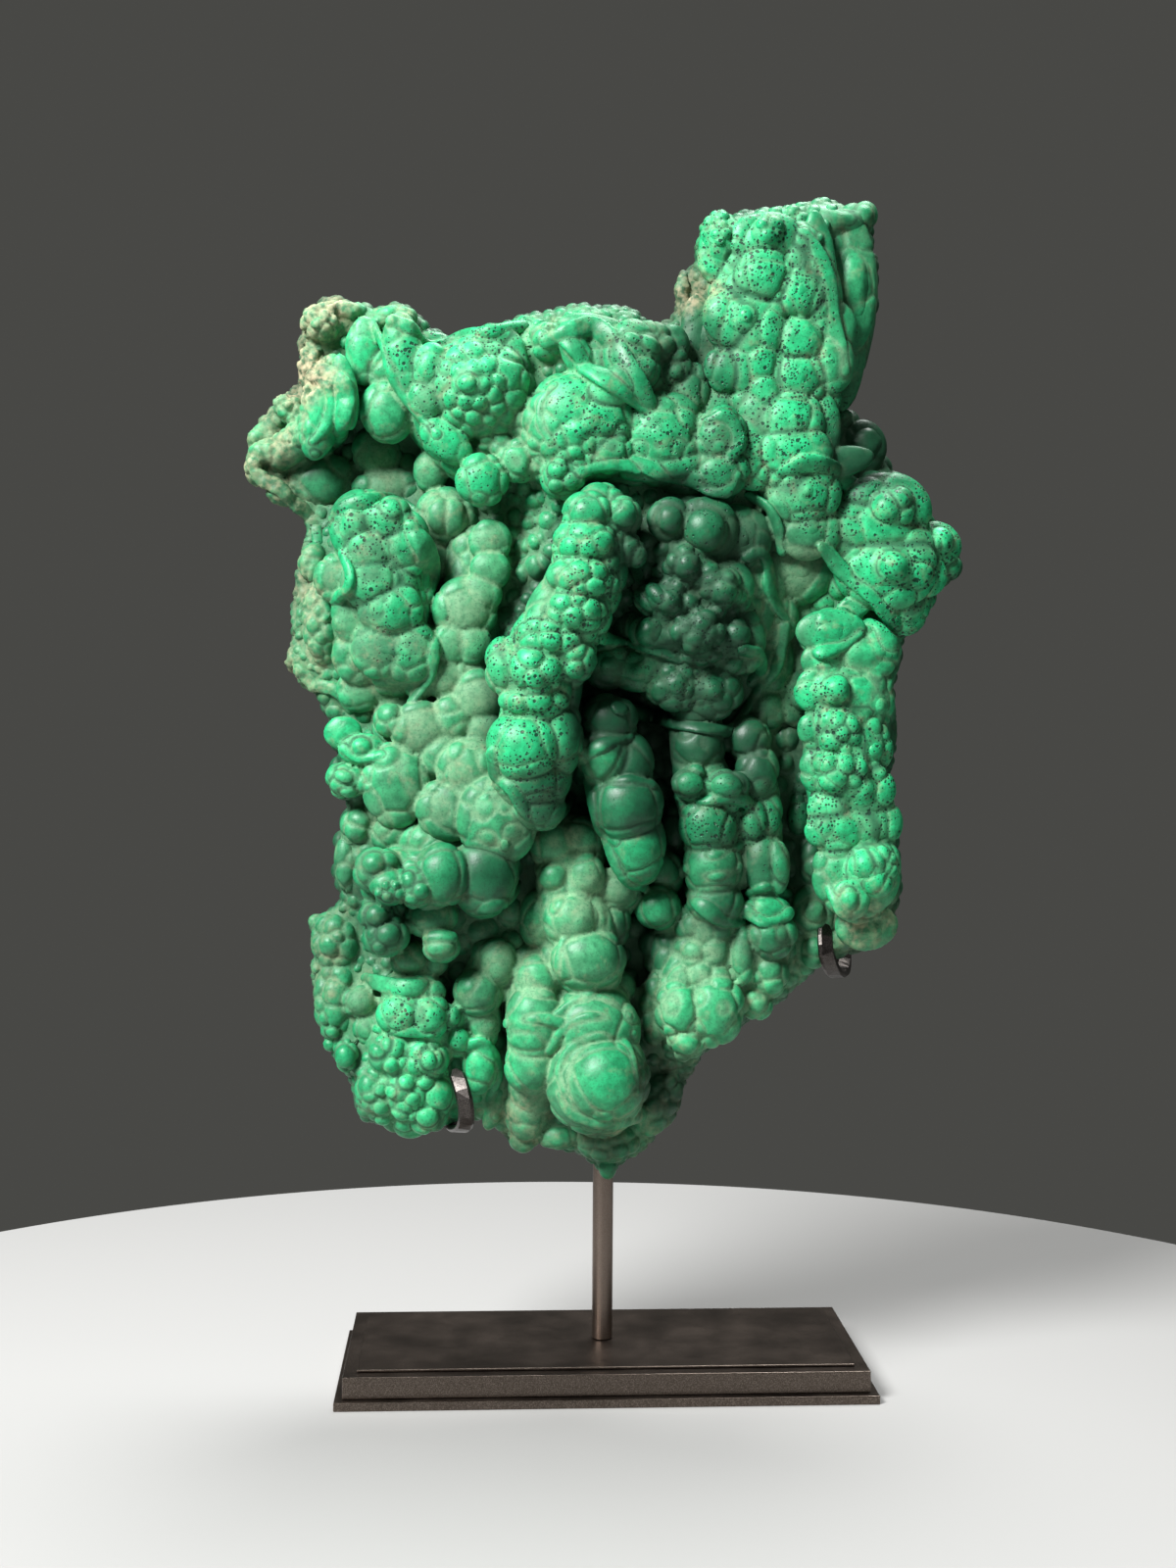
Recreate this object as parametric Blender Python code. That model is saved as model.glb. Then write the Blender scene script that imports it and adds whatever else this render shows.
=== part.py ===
"""Botryoidal malachite specimen held by two hooks on a metal display stand.

The model is in metres with +Z up. Its origin is the centre of the base's underside, X runs to the
viewer's right, and the stone faces -Y. The stone is one solid, grown together from its crust, its
fingers and its bubbles. The stand is a stepped base, a round stem and two hooked arms.

The stone's outline and bubbles are given as seen from one standing point in front of it: across and
down in pixels of a 1200 by 1600 picture, and forward in millimetres in front of the stem's axis.
"""

import math

import bmesh
import bpy
import numpy as np
from mathutils import Matrix, Vector, noise
from mathutils.geometry import delaunay_2d_cdt

MM = 0.001

# Driving sizes of the stand, in metres
BASE_WIDTH = 0.2030
BASE_DEPTH = 0.0843
FOOT_PLATE_HEIGHT = 0.0033
BLOCK_INSET = 0.0030
BLOCK_HEIGHT = 0.0083
TOP_PLATE_INSET = 0.0051
TOP_PLATE_HEIGHT = 0.0011
PLATE_EDGE_ROUND = 0.0003
STEM_DIAMETER = 0.0080
STEM_TOP = 0.3400
STEM_SIDES = 32
BAR_WIDTH = 0.0060
BAR_THICKNESS = 0.0026
ROUTE_STEPS = 2
GAP = 0.0003

# Standing point that the picture coordinates refer to
EYE = Vector((-0.0472, -0.7290, 0.2520))
FOCAL = 1917.8
CENTRE_ACROSS = 600.0
CENTRE_DOWN = 800.0
TURN = -0.0553
DIP = 0.0302
ROLL = 0.0062

# Grain of the stone's solid, in metres, and the faces that it keeps
STONE_VOXEL = 0.0022
STONE_TRIANGLES = 8250
CRUST_GRID = 22.0
HOOK_CLEARANCE = 0.0008

# How the crust's rim rolls back, how far back a lobe may reach, and how uneven the rear is, in
# millimetres; the rear is even where it lies against the stem
RIM_ROLL = 3.0
REAR_LIMIT = 5.5
REAR_RELIEF = 2.4
REAR_RELIEF_SPAN = 0.022
STEM_SEAT_REACH = 0.020

# Outline of the stone, clockwise from its left tip: across, down
OUTLINE = [
    (247, 455), (252, 445), (268, 422), (280, 415), (292, 403), (303, 398), (306, 388), (312, 370),
    (306, 360), (302, 352), (308, 343), (318, 335), (323, 328), (322, 318), (326, 308), (333, 304),
    (350, 304), (356, 312), (370, 310), (385, 315), (396, 311), (410, 308), (428, 322), (441, 336),
    (458, 345), (480, 342), (497, 333), (507, 329), (520, 330), (530, 322), (543, 320), (562, 318),
    (575, 313), (595, 310), (612, 314), (630, 312), (648, 314), (655, 322), (665, 335), (680, 332),
    (687, 326), (690, 305), (690, 283), (697, 276), (711, 270), (713, 262), (709, 250), (716, 237),
    (732, 226), (748, 221), (778, 213), (800, 213), (820, 208), (843, 203), (858, 211), (880, 209),
    (892, 208), (889, 250), (893, 265), (897, 283), (895, 300), (892, 325), (887, 340), (875, 370),
    (866, 400), (860, 412), (868, 425), (888, 448), (893, 460), (905, 470), (912, 485), (935, 500),
    (943, 515), (946, 526), (965, 543), (975, 555), (980, 570), (980, 583), (965, 592), (955, 605),
    (938, 635), (930, 645), (920, 645), (918, 660), (915, 685), (911, 700), (912, 750), (911, 770),
    (905, 800), (908, 830), (914, 860), (918, 900), (911, 942), (901, 962), (870, 971), (836, 983),
    (818, 1000), (798, 1021), (767, 1038), (746, 1055), (722, 1069), (710, 1086), (695, 1111),
    (683, 1131), (670, 1159), (649, 1180), (629, 1187), (627, 1200), (621, 1203), (606, 1187),
    (593, 1177), (570, 1170), (553, 1154), (547, 1172), (535, 1175), (524, 1170), (512, 1157),
    (502, 1147), (491, 1141), (470, 1145), (453, 1149), (440, 1157), (422, 1153), (402, 1150),
    (387, 1145), (370, 1144), (361, 1126), (360, 1113), (355, 1094), (345, 1085), (338, 1078),
    (329, 1067), (322, 1032), (318, 1009), (317, 983), (318, 958), (313, 945), (315, 935),
    (333, 927), (351, 917), (342, 897), (343, 874), (346, 848), (354, 825), (350, 815), (335, 793),
    (333, 785), (345, 778), (345, 770), (338, 750), (337, 738), (330, 725), (325, 710), (308, 698),
    (300, 690), (291, 680), (292, 668), (299, 655), (296, 630), (301, 605), (300, 590), (305, 580),
    (312, 568), (308, 563), (312, 540), (308, 525), (295, 512), (285, 503), (275, 495), (262, 490),
    (255, 480), (247, 468),
]

# Crust between the bubbles: across, down, forward of its face, thickness
CRUST = [
    (262, 460, 17, 9), (320, 330, 22, 13), (400, 330, 26, 16), (470, 355, 28, 17),
    (520, 350, 32, 20), (480, 400, 34, 24), (430, 400, 32, 22), (520, 410, 34, 24),
    (340, 490, 11, 7), (330, 440, 13, 8), (400, 470, 15, 9), (450, 490, 20, 13),
    (500, 530, 26, 18), (440, 560, 23, 16), (300, 520, 16, 9), (310, 600, 24, 14),
    (305, 680, 24, 14), (390, 560, 34, 22), (400, 640, 34, 22), (470, 600, 26, 18),
    (480, 680, 28, 20), (470, 760, 30, 20), (500, 800, 32, 22), (350, 740, 24, 14),
    (400, 740, 29, 18), (350, 830, 24, 14), (400, 830, 28, 18), (400, 880, 33, 22),
    (470, 900, 32, 22), (340, 960, 21, 13), (340, 1040, 23, 14), (380, 1100, 28, 18),
    (420, 1060, 30, 20), (440, 1130, 28, 18), (480, 1110, 25, 15), (480, 1040, 20, 12),
    (570, 560, 38, 31), (600, 500, 40, 36), (560, 650, 38, 28), (700, 540, 38, 28),
    (720, 600, 40, 30), (760, 600, 34, 26), (700, 660, 36, 26), (645, 660, 32, 24),
    (640, 740, 12, 6), (660, 780, 12, 6), (688, 830, 12, 6), (600, 860, 24, 16),
    (660, 910, 15, 9), (645, 1000, 16, 10), (752, 850, 14, 8), (800, 880, 18, 12),
    (740, 250, 36, 22), (800, 300, 38, 24), (870, 290, 30, 20), (800, 400, 38, 24),
    (862, 380, 28, 18), (820, 480, 38, 26), (882, 460, 24, 16), (900, 540, 34, 22),
    (955, 560, 30, 18), (920, 620, 30, 18), (800, 640, 26, 18), (800, 720, 23, 15),
    (805, 800, 22, 14), (825, 900, 22, 14), (835, 970, 24, 15), (870, 700, 34, 22),
    (870, 800, 34, 22), (890, 900, 32, 20), (710, 960, 26, 18), (720, 1040, 28, 19),
    (780, 960, 25, 17), (790, 1015, 25, 16), (600, 1100, 34, 26), (540, 1080, 28, 20),
    (510, 1140, 22, 14), (560, 960, 30, 22), (620, 1170, 25, 18), (680, 1120, 23, 15),
    (622, 1198, 17, 10), (600, 360, 38, 26), (650, 380, 38, 26), (690, 450, 38, 26),
    (590, 440, 36, 26), (560, 325, 28, 17), (640, 325, 28, 18), (697, 300, 26, 15),
    (733, 400, 32, 22),
]

# Bubbles and lobes, part by part: across, down, forward, half-width, half-height, lean in degrees
UPPER_LEFT_RIM = [
    (275, 462, 15, 22, 16, 0), (262, 480, 14, 14, 16, 20), (285, 505, 15, 14, 12, 40),
    (300, 420, 18, 26, 16, 35), (320, 375, 20, 16, 28, 0), (330, 330, 22, 22, 22, 0),
    (352, 318, 22, 24, 12, 0), (330, 415, 28, 18, 42, 12), (352, 400, 33, 10, 30, -8),
    (372, 358, 26, 15, 27, 0), (395, 378, 26, 18, 18, 0), (396, 420, 28, 22, 26, 0),
    (404, 325, 26, 24, 14, 0), (440, 350, 26, 18, 9, 0), (385, 462, 15, 20, 22, 0),
    (330, 490, 11, 32, 22, 0), (395, 498, 17, 28, 17, 0), (440, 480, 23, 14, 18, 0),
    (455, 528, 24, 25, 24, 0), (440, 575, 24, 18, 22, 0), (492, 490, 38, 21, 21, 0),
]

UPPER_PATCH = [
    (490, 400, 26, 62, 58, 0), (412, 362, 34, 16, 34, -8), (440, 376, 36, 16, 20, 0),
    (437, 407, 36, 16, 16, 0), (455, 450, 36, 15, 24, -50), (486, 395, 34, 42, 42, 0),
    (505, 346, 34, 18, 12, 0), (525, 380, 34, 14, 34, -10), (535, 430, 34, 18, 22, 0),
    (530, 470, 36, 18, 18, 0), (575, 485, 42, 20, 20, 0), (560, 350, 32, 24, 22, 0),
]

PETALS = [
    (612, 340, 36, 34, 14, 12), (632, 392, 46, 34, 15, -32), (588, 360, 40, 12, 26, -25),
    (645, 365, 40, 24, 30, 0), (663, 350, 38, 18, 18, 0), (686, 352, 36, 14, 16, 0),
    (690, 378, 36, 14, 14, 0), (592, 437, 36, 47, 46, 0), (620, 460, 44, 20, 18, 0),
    (625, 482, 38, 34, 10, 8), (675, 448, 36, 38, 38, 8), (678, 478, 44, 36, 10, -8),
    (735, 445, 42, 22, 24, 0), (735, 482, 42, 24, 20, 0), (702, 402, 34, 18, 26, 0),
    (712, 345, 28, 14, 34, 0), (698, 302, 24, 9, 26, 0),
]

RIGHT_COLUMN = [
    (735, 247, 34, 24, 34, 0), (782, 240, 38, 27, 27, 0), (780, 283, 40, 22, 22, 0),
    (752, 290, 36, 14, 20, 0), (757, 326, 36, 31, 31, 0), (788, 333, 38, 17, 20, 0),
    (747, 376, 36, 19, 19, 0), (776, 371, 38, 15, 16, 0), (782, 397, 38, 14, 13, 0),
    (743, 416, 34, 24, 14, 0), (818, 268, 40, 15, 15, 0), (818, 297, 40, 20, 20, 0),
    (838, 265, 38, 10, 34, -10), (816, 348, 40, 17, 17, 0), (815, 383, 38, 22, 22, 0),
    (846, 370, 38, 18, 22, 0), (850, 335, 36, 16, 20, 0), (870, 290, 28, 23, 54, 0),
    (868, 372, 26, 14, 38, 8), (838, 407, 36, 14, 12, 0), (855, 225, 30, 30, 16, 0),
    (807, 430, 40, 24, 22, 0), (838, 438, 38, 14, 26, 0), (770, 462, 38, 22, 26, 0),
    (812, 460, 42, 26, 18, 0), (786, 482, 38, 16, 14, 0), (840, 475, 38, 36, 12, -12),
    (820, 503, 38, 26, 24, 0), (824, 540, 36, 24, 22, 0), (882, 455, 22, 22, 24, 0),
]

RIGHT_BLOCK = [
    (906, 522, 30, 38, 36, 0), (862, 546, 32, 22, 22, 0), (905, 580, 32, 40, 34, 0),
    (950, 556, 26, 29, 24, 0), (925, 620, 28, 24, 26, 0), (946, 588, 30, 20, 18, 0),
    (882, 610, 34, 40, 9, -42),
]

RIGHT_FINGER = [
    (846, 643, 38, 28, 18, 0), (840, 674, 38, 22, 16, 0), (880, 668, 36, 34, 22, 0),
    (848, 705, 38, 36, 24, 0), (886, 712, 34, 26, 40, 0), (855, 745, 38, 38, 28, 0),
    (885, 762, 36, 24, 26, 0), (856, 785, 38, 38, 30, 0), (878, 805, 38, 28, 24, 0),
    (852, 825, 38, 22, 20, 0), (888, 840, 36, 22, 24, 0), (862, 845, 38, 28, 20, 0),
    (886, 888, 36, 34, 38, 0), (864, 890, 36, 24, 30, 0), (868, 918, 42, 14, 15, 0),
    (884, 948, 32, 26, 20, 0),
]

RIGHT_HOLLOW = [
    (815, 580, 26, 28, 28, 0), (784, 590, 30, 16, 30, 0), (790, 628, 28, 18, 26, 0),
    (788, 672, 26, 16, 26, 0), (812, 712, 24, 16, 22, 0), (784, 722, 24, 16, 16, 0),
    (803, 775, 20, 12, 14, 0), (815, 830, 20, 16, 26, 0), (830, 880, 20, 18, 30, 0),
    (830, 932, 22, 18, 22, 0), (830, 970, 24, 16, 20, 0),
]

HOOD = [
    (702, 562, 30, 50, 50, 0), (738, 605, 28, 46, 60, 0), (700, 650, 29, 52, 46, 0),
    (662, 655, 26, 40, 34, 20), (683, 530, 44, 17, 17, 0), (720, 541, 42, 25, 25, 0),
    (752, 550, 36, 26, 26, 0), (784, 530, 30, 14, 34, -12), (700, 575, 46, 26, 20, 0),
    (735, 600, 44, 28, 26, 0), (680, 612, 46, 26, 18, 0), (712, 645, 44, 30, 26, 0),
    (748, 652, 38, 26, 30, 0), (672, 650, 42, 26, 16, 20), (655, 686, 38, 30, 16, 0),
    (690, 700, 38, 26, 20, 0), (725, 705, 36, 26, 24, 0), (620, 680, 36, 20, 20, 0),
]

CENTRE_FINGER = [
    (600, 525, 52, 28, 26, 0), (634, 528, 50, 20, 20, 0), (640, 560, 50, 17, 17, 0),
    (598, 556, 54, 36, 28, 0), (592, 592, 56, 38, 28, 0), (585, 624, 56, 36, 28, 0),
    (562, 652, 56, 38, 26, 0), (518, 680, 52, 22, 30, 0), (548, 684, 56, 32, 30, 0),
    (585, 672, 54, 26, 26, 0), (545, 716, 54, 38, 24, 0), (535, 762, 52, 36, 36, 0),
    (568, 752, 50, 26, 40, 0), (542, 795, 48, 38, 32, 0), (546, 820, 46, 30, 28, 0),
]

FINGER_B = [
    (622, 735, 40, 27, 26, 0), (618, 772, 42, 27, 30, 0), (640, 785, 40, 26, 36, 0),
    (640, 822, 42, 35, 36, 0), (650, 862, 40, 28, 38, 0),
]

BALL_C = [(671, 926, 30, 22, 22, 0), (678, 890, 24, 20, 24, 0), (690, 850, 18, 16, 30, 0)]

FINGER_D = [
    (710, 725, 30, 26, 26, 0), (712, 762, 32, 27, 28, 0), (702, 800, 40, 17, 15, 0),
    (742, 802, 40, 22, 16, 0), (722, 842, 36, 28, 30, 0), (746, 850, 32, 14, 30, 0),
    (767, 842, 34, 15, 23, 0), (728, 885, 34, 29, 34, 0), (730, 920, 34, 27, 24, 0),
    (712, 945, 30, 22, 18, 0), (715, 970, 30, 30, 22, 0), (735, 985, 28, 22, 30, 0),
    (710, 1000, 32, 28, 20, 0), (695, 1030, 34, 26, 30, 0), (728, 1030, 34, 30, 36, 0),
    (700, 1064, 34, 17, 17, 0), (668, 1030, 26, 18, 40, 0), (682, 975, 22, 20, 34, 0),
]

FINGER_E = [
    (764, 755, 30, 22, 24, 0), (772, 790, 32, 22, 30, 0), (782, 835, 32, 16, 30, 0),
    (778, 880, 32, 22, 36, 0), (795, 885, 36, 11, 26, 0), (783, 928, 34, 24, 14, 0),
    (786, 955, 32, 26, 24, 0), (783, 992, 28, 24, 26, 0), (772, 1022, 28, 16, 18, 0),
    (757, 975, 34, 12, 30, 0),
]

LEFT_BLOCK = [
    (363, 535, 38, 22, 28, 0), (396, 526, 40, 24, 20, 0), (410, 556, 38, 22, 26, 0),
    (378, 565, 40, 20, 20, 0), (380, 594, 40, 24, 22, 0), (398, 622, 40, 24, 22, 0),
    (420, 600, 34, 18, 54, 0), (388, 662, 38, 22, 22, 0), (416, 664, 38, 22, 24, 0),
    (428, 690, 34, 14, 18, 0), (345, 590, 34, 18, 18, 0), (361, 628, 34, 16, 23, 0),
    (364, 670, 32, 18, 21, 0), (368, 705, 28, 18, 16, 0), (330, 635, 24, 22, 44, 0),
    (320, 575, 22, 16, 22, 0), (400, 700, 30, 22, 16, 0),
]

LEFT_SLOPE = [
    (475, 622, 30, 24, 24, 0), (462, 656, 32, 16, 16, 0), (480, 656, 32, 16, 16, 0),
    (500, 582, 32, 15, 15, 0), (490, 606, 32, 16, 16, 0), (500, 552, 30, 16, 16, 0),
    (490, 712, 32, 21, 21, 0), (494, 748, 32, 20, 20, 0), (462, 735, 32, 20, 20, 0),
    (430, 745, 32, 24, 22, 0), (455, 690, 30, 20, 18, 0), (450, 770, 34, 16, 16, 0),
    (480, 786, 36, 26, 24, 0), (462, 826, 36, 28, 24, 0), (436, 795, 30, 13, 20, 0),
    (508, 836, 40, 31, 34, 0), (400, 735, 30, 20, 20, 0), (350, 748, 30, 14, 12, 0),
    (370, 765, 32, 18, 12, 0), (356, 796, 30, 22, 18, 0), (405, 800, 32, 26, 32, 0),
]

LOWER_LEFT_LOBES = [
    (370, 842, 26, 24, 22, 0), (405, 848, 30, 26, 22, 0), (355, 880, 24, 16, 34, 0),
    (440, 862, 34, 32, 26, 0), (452, 893, 48, 26, 30, 0), (494, 893, 42, 32, 40, 0),
    (386, 888, 44, 24, 22, 0), (400, 905, 48, 26, 20, 0), (426, 906, 50, 18, 20, 0),
    (384, 936, 42, 16, 16, 0), (394, 955, 42, 22, 20, 0), (440, 935, 38, 26, 22, 0),
    (450, 965, 42, 18, 17, 0), (417, 978, 32, 18, 18, 0), (440, 985, 30, 16, 12, 0),
    (508, 983, 32, 20, 24, 0), (488, 1012, 32, 24, 24, 0), (494, 1042, 30, 16, 30, 0),
]

LOWER_LEFT_CLUSTER = [
    (345, 960, 16, 28, 34, 0), (345, 1020, 18, 26, 44, 0), (368, 1022, 26, 18, 16, 0),
    (376, 1050, 26, 14, 16, 0), (353, 1078, 28, 12, 16, 0), (422, 1012, 34, 30, 18, 0),
    (410, 1034, 36, 24, 22, 0), (436, 1036, 36, 22, 22, 0), (400, 1075, 34, 26, 24, 0),
    (434, 1080, 34, 26, 26, 0), (385, 1110, 30, 24, 30, 0), (415, 1112, 32, 26, 30, 0),
    (444, 1118, 32, 17, 34, 0), (392, 1132, 30, 14, 14, 0), (412, 1138, 30, 14, 14, 0),
    (436, 1138, 32, 18, 18, 0), (462, 1038, 32, 12, 13, 0), (468, 1062, 30, 15, 16, 0),
    (490, 1088, 30, 17, 26, 0), (506, 1128, 22, 10, 24, 20),
]

LOWER_CENTRE = [
    (566, 860, 32, 26, 24, 0), (592, 855, 32, 22, 22, 0), (566, 895, 34, 18, 20, 0),
    (597, 894, 36, 20, 24, 0), (630, 908, 32, 22, 20, 0), (584, 938, 38, 27, 28, 0),
    (622, 940, 30, 20, 28, 0), (553, 938, 30, 22, 30, 0), (600, 978, 40, 36, 30, 0),
    (570, 985, 34, 20, 28, 0), (548, 1000, 34, 24, 26, 0), (624, 1010, 24, 24, 22, 0),
    (546, 1045, 38, 29, 40, 0), (545, 1085, 36, 28, 30, 0), (604, 1050, 36, 46, 42, 0),
    (608, 1100, 38, 50, 52, 0), (618, 1102, 48, 38, 38, 0), (538, 1130, 24, 22, 32, 0),
    (535, 1158, 20, 16, 16, 0), (570, 1160, 24, 22, 12, 0), (620, 1165, 24, 34, 22, 0),
    (668, 1125, 20, 26, 40, 30), (620, 1190, 18, 10, 14, 0),
]

STONE_PARTS = [
    UPPER_LEFT_RIM, UPPER_PATCH, PETALS, RIGHT_COLUMN, RIGHT_BLOCK, RIGHT_FINGER, RIGHT_HOLLOW, HOOD,
    CENTRE_FINGER, FINGER_B, BALL_C, FINGER_D, FINGER_E, LEFT_BLOCK, LEFT_SLOPE, LOWER_LEFT_LOBES,
    LOWER_LEFT_CLUSTER, LOWER_CENTRE,
]

# Hooks: across, down, forward, from the tip down the front, under the stone and up behind it
LEFT_HOOK = [
    (464, 1093, 40), (469, 1104, 44), (474, 1122, 47), (476, 1138, 45), (474, 1149, 39),
    (469, 1152, 29), (463, 1150, 15), (459, 1141, 5), (457, 1124, 1), (458, 1100, 0),
]
LEFT_ARM = [(468, 1080, 0), (495, 1064, 0), (540, 1056, 0), (597, 1050, 0)]
RIGHT_HOOK = [
    (843, 945, 36), (842, 956, 39), (843, 972, 40), (847, 985, 36), (852, 993, 29),
    (857, 994, 20), (860, 989, 10), (861, 979, 4), (861, 965, 1), (860, 945, 0),
]
RIGHT_ARM = [(856, 922, 0), (838, 904, 0), (798, 892, 0), (700, 884, 0), (629, 880, 0)]
LEFT_HOOK_FACING = -12.0
RIGHT_HOOK_FACING = 18.0


def view_axes():
    """Right, up and back directions of the standing point's view."""
    back = Vector((math.sin(TURN) * math.cos(DIP), -math.cos(TURN) * math.cos(DIP), math.sin(DIP)))
    right = Vector((0, 0, 1)).cross(back).normalized()
    up = back.cross(right)
    turned_right = math.cos(ROLL) * right + math.sin(ROLL) * up
    turned_up = math.cos(ROLL) * up - math.sin(ROLL) * right
    return turned_right, turned_up, back


RIGHT, UP, BACK = view_axes()


def place(across, down, forward):
    """Point that is seen at (across, down) and lies forward millimetres before the stem's axis."""
    sight = RIGHT * ((across - CENTRE_ACROSS) / FOCAL) + UP * ((CENTRE_DOWN - down) / FOCAL) - BACK
    return EYE + sight * ((-forward * MM - EYE.y) / sight.y)


def pixel_size(forward):
    """Metres that one pixel spans at this distance in front of the stem's axis."""
    return (-EYE.y - forward * MM) / FOCAL


def make_material(name, colour, roughness, metallic):
    material = bpy.data.materials.new(name)
    material.use_nodes = True
    shader = material.node_tree.nodes["Principled BSDF"]
    shader.inputs["Base Color"].default_value = (*colour, 1.0)
    shader.inputs["Roughness"].default_value = roughness
    shader.inputs["Metallic"].default_value = metallic
    return material


def add_object(name, mesh, material):
    model = bpy.data.objects.new(name, mesh)
    bpy.context.scene.collection.objects.link(model)
    if material:
        mesh.materials.append(material)
    return model


def apply_modifiers(model):
    """Replace the object's mesh by its shape with its modifiers on."""
    shape = bpy.data.meshes.new_from_object(model.evaluated_get(bpy.context.evaluated_depsgraph_get()))
    model.modifiers.clear()
    model.data = shape


def add_voxel_remesh(model, size):
    remesh = model.modifiers.new("Grow together", "REMESH")
    remesh.mode = "VOXEL"
    remesh.voxel_size = size
    remesh.adaptivity = 0.0


def crust_depths(across, down):
    """Face and thickness of the crust at a place, weighed from the nearest stated ones."""
    places = np.array(CRUST, dtype=float)
    nearness = 1.0 / ((places[:, 0] - across) ** 2 + (places[:, 1] - down) ** 2 + 60.0) ** 1.6
    face = float(np.sum(nearness * places[:, 2]) / np.sum(nearness))
    thickness = float(np.sum(nearness * places[:, 3]) / np.sum(nearness))
    return face, thickness


def rear_relief(point):
    """How far the rear stands in at a point, in millimetres: none beside the stem."""
    waves = noise.noise(point / REAR_RELIEF_SPAN)
    waves += 0.5 * noise.noise(2.3 * point / REAR_RELIEF_SPAN)
    return REAR_RELIEF * (0.6 + waves) * min(1.0, abs(point.x) / STEM_SEAT_REACH)


def inside_outline(across, down):
    """Whether a place lies inside the stone's outline."""
    inside = False
    for start, end in zip(OUTLINE, OUTLINE[1:] + OUTLINE[:1]):
        if (start[1] > down) != (end[1] > down):
            crossing = start[0] + (down - start[1]) / (end[1] - start[1]) * (end[0] - start[0])
            if across < crossing:
                inside = not inside
    return inside


def outline_distance(across, down):
    """Distance in pixels from a place to the nearest stretch of the outline."""
    here = Vector((across, down))
    nearest = math.inf
    for start, end in zip(OUTLINE, OUTLINE[1:] + OUTLINE[:1]):
        along = Vector(end) - Vector(start)
        share = max(0.0, min(1.0, (here - Vector(start)).dot(along) / along.length_squared))
        nearest = min(nearest, (here - Vector(start) - along * share).length)
    return nearest


def add_crust(mesh):
    """Closed slab with the stone's outline and the crust's stated face and thickness."""
    spots = [Vector(point) for point in OUTLINE]
    down = min(point[1] for point in OUTLINE) + CRUST_GRID
    while down < max(point[1] for point in OUTLINE):
        across = min(point[0] for point in OUTLINE) + CRUST_GRID
        while across < max(point[0] for point in OUTLINE):
            if inside_outline(across, down) and outline_distance(across, down) > CRUST_GRID * 0.4:
                spots.append(Vector((across, down)))
            across += CRUST_GRID
        down += CRUST_GRID
    rim = list(range(len(OUTLINE)))
    flat, _, faces, _, _, _ = delaunay_2d_cdt(spots, [], [rim], 1, 0.01)
    rim_spots = {(round(point[0]), round(point[1])) for point in OUTLINE}
    front = []
    rear = []
    for spot in flat:
        face, thickness = crust_depths(spot.x, spot.y)
        on_rim = (round(spot.x), round(spot.y)) in rim_spots
        rolled = RIM_ROLL if on_rim else 0.0
        front.append(mesh.verts.new(place(spot.x, spot.y, face - rolled)))
        back = face - thickness + rolled * 0.5
        back += rear_relief(place(spot.x, spot.y, back))
        rear.append(mesh.verts.new(place(spot.x, spot.y, back)))
    sides = {}
    for face in faces:
        for start, end in zip(face, face[1:] + face[:1]):
            sides[(start, end)] = sides.get((start, end), 0) + 1
        mesh.faces.new([front[index] for index in face])
        mesh.faces.new([rear[index] for index in reversed(face)])
    for start, end in sides:
        if (end, start) not in sides:
            mesh.faces.new((front[end], front[start], rear[start], rear[end]))


def add_lump(mesh, across, down, forward, half_width, half_height, lean):
    """Ellipsoid at a place, as deep as it is wide or high but never through the rear."""
    size = pixel_size(forward)
    depth = min(min(half_width, half_height) * size, (forward - REAR_LIMIT) * MM)
    radii = Vector((half_width * size, depth, half_height * size))
    stretch = Matrix.Diagonal(radii).to_4x4()
    turn = Matrix.Rotation(math.radians(lean), 4, "Y")
    shift = Matrix.Translation(place(across, down, forward))
    bmesh.ops.create_icosphere(mesh, subdivisions=3, radius=1.0, matrix=shift @ turn @ stretch)


def add_stone(hooks):
    """The crust and all of its lobes grown together into one solid, clear of the hooks."""
    mesh = bmesh.new()
    add_crust(mesh)
    for part in STONE_PARTS:
        for lump in part:
            add_lump(mesh, *lump)
    bmesh.ops.recalc_face_normals(mesh, faces=mesh.faces)
    shape = bpy.data.meshes.new("malachite")
    mesh.to_mesh(shape)
    mesh.free()
    material = make_material("malachite", (0.03, 0.36, 0.17), 0.42, 0.0)
    stone = add_object("malachite", shape, material)
    add_voxel_remesh(stone, STONE_VOXEL)
    smooth = stone.modifiers.new("Soften", "SMOOTH")
    smooth.factor = 0.5
    smooth.iterations = 2
    apply_modifiers(stone)
    reduce = stone.modifiers.new("Fewer faces", "DECIMATE")
    reduce.ratio = STONE_TRIANGLES / (2.0 * len(stone.data.polygons))
    reduce.use_collapse_triangulate = True
    for hook in hooks:
        clearance = add_clearance(hook)
        cut = stone.modifiers.new("Room for a hook", "BOOLEAN")
        cut.operation = "DIFFERENCE"
        cut.solver = "EXACT"
        cut.object = clearance
    return stone


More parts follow.
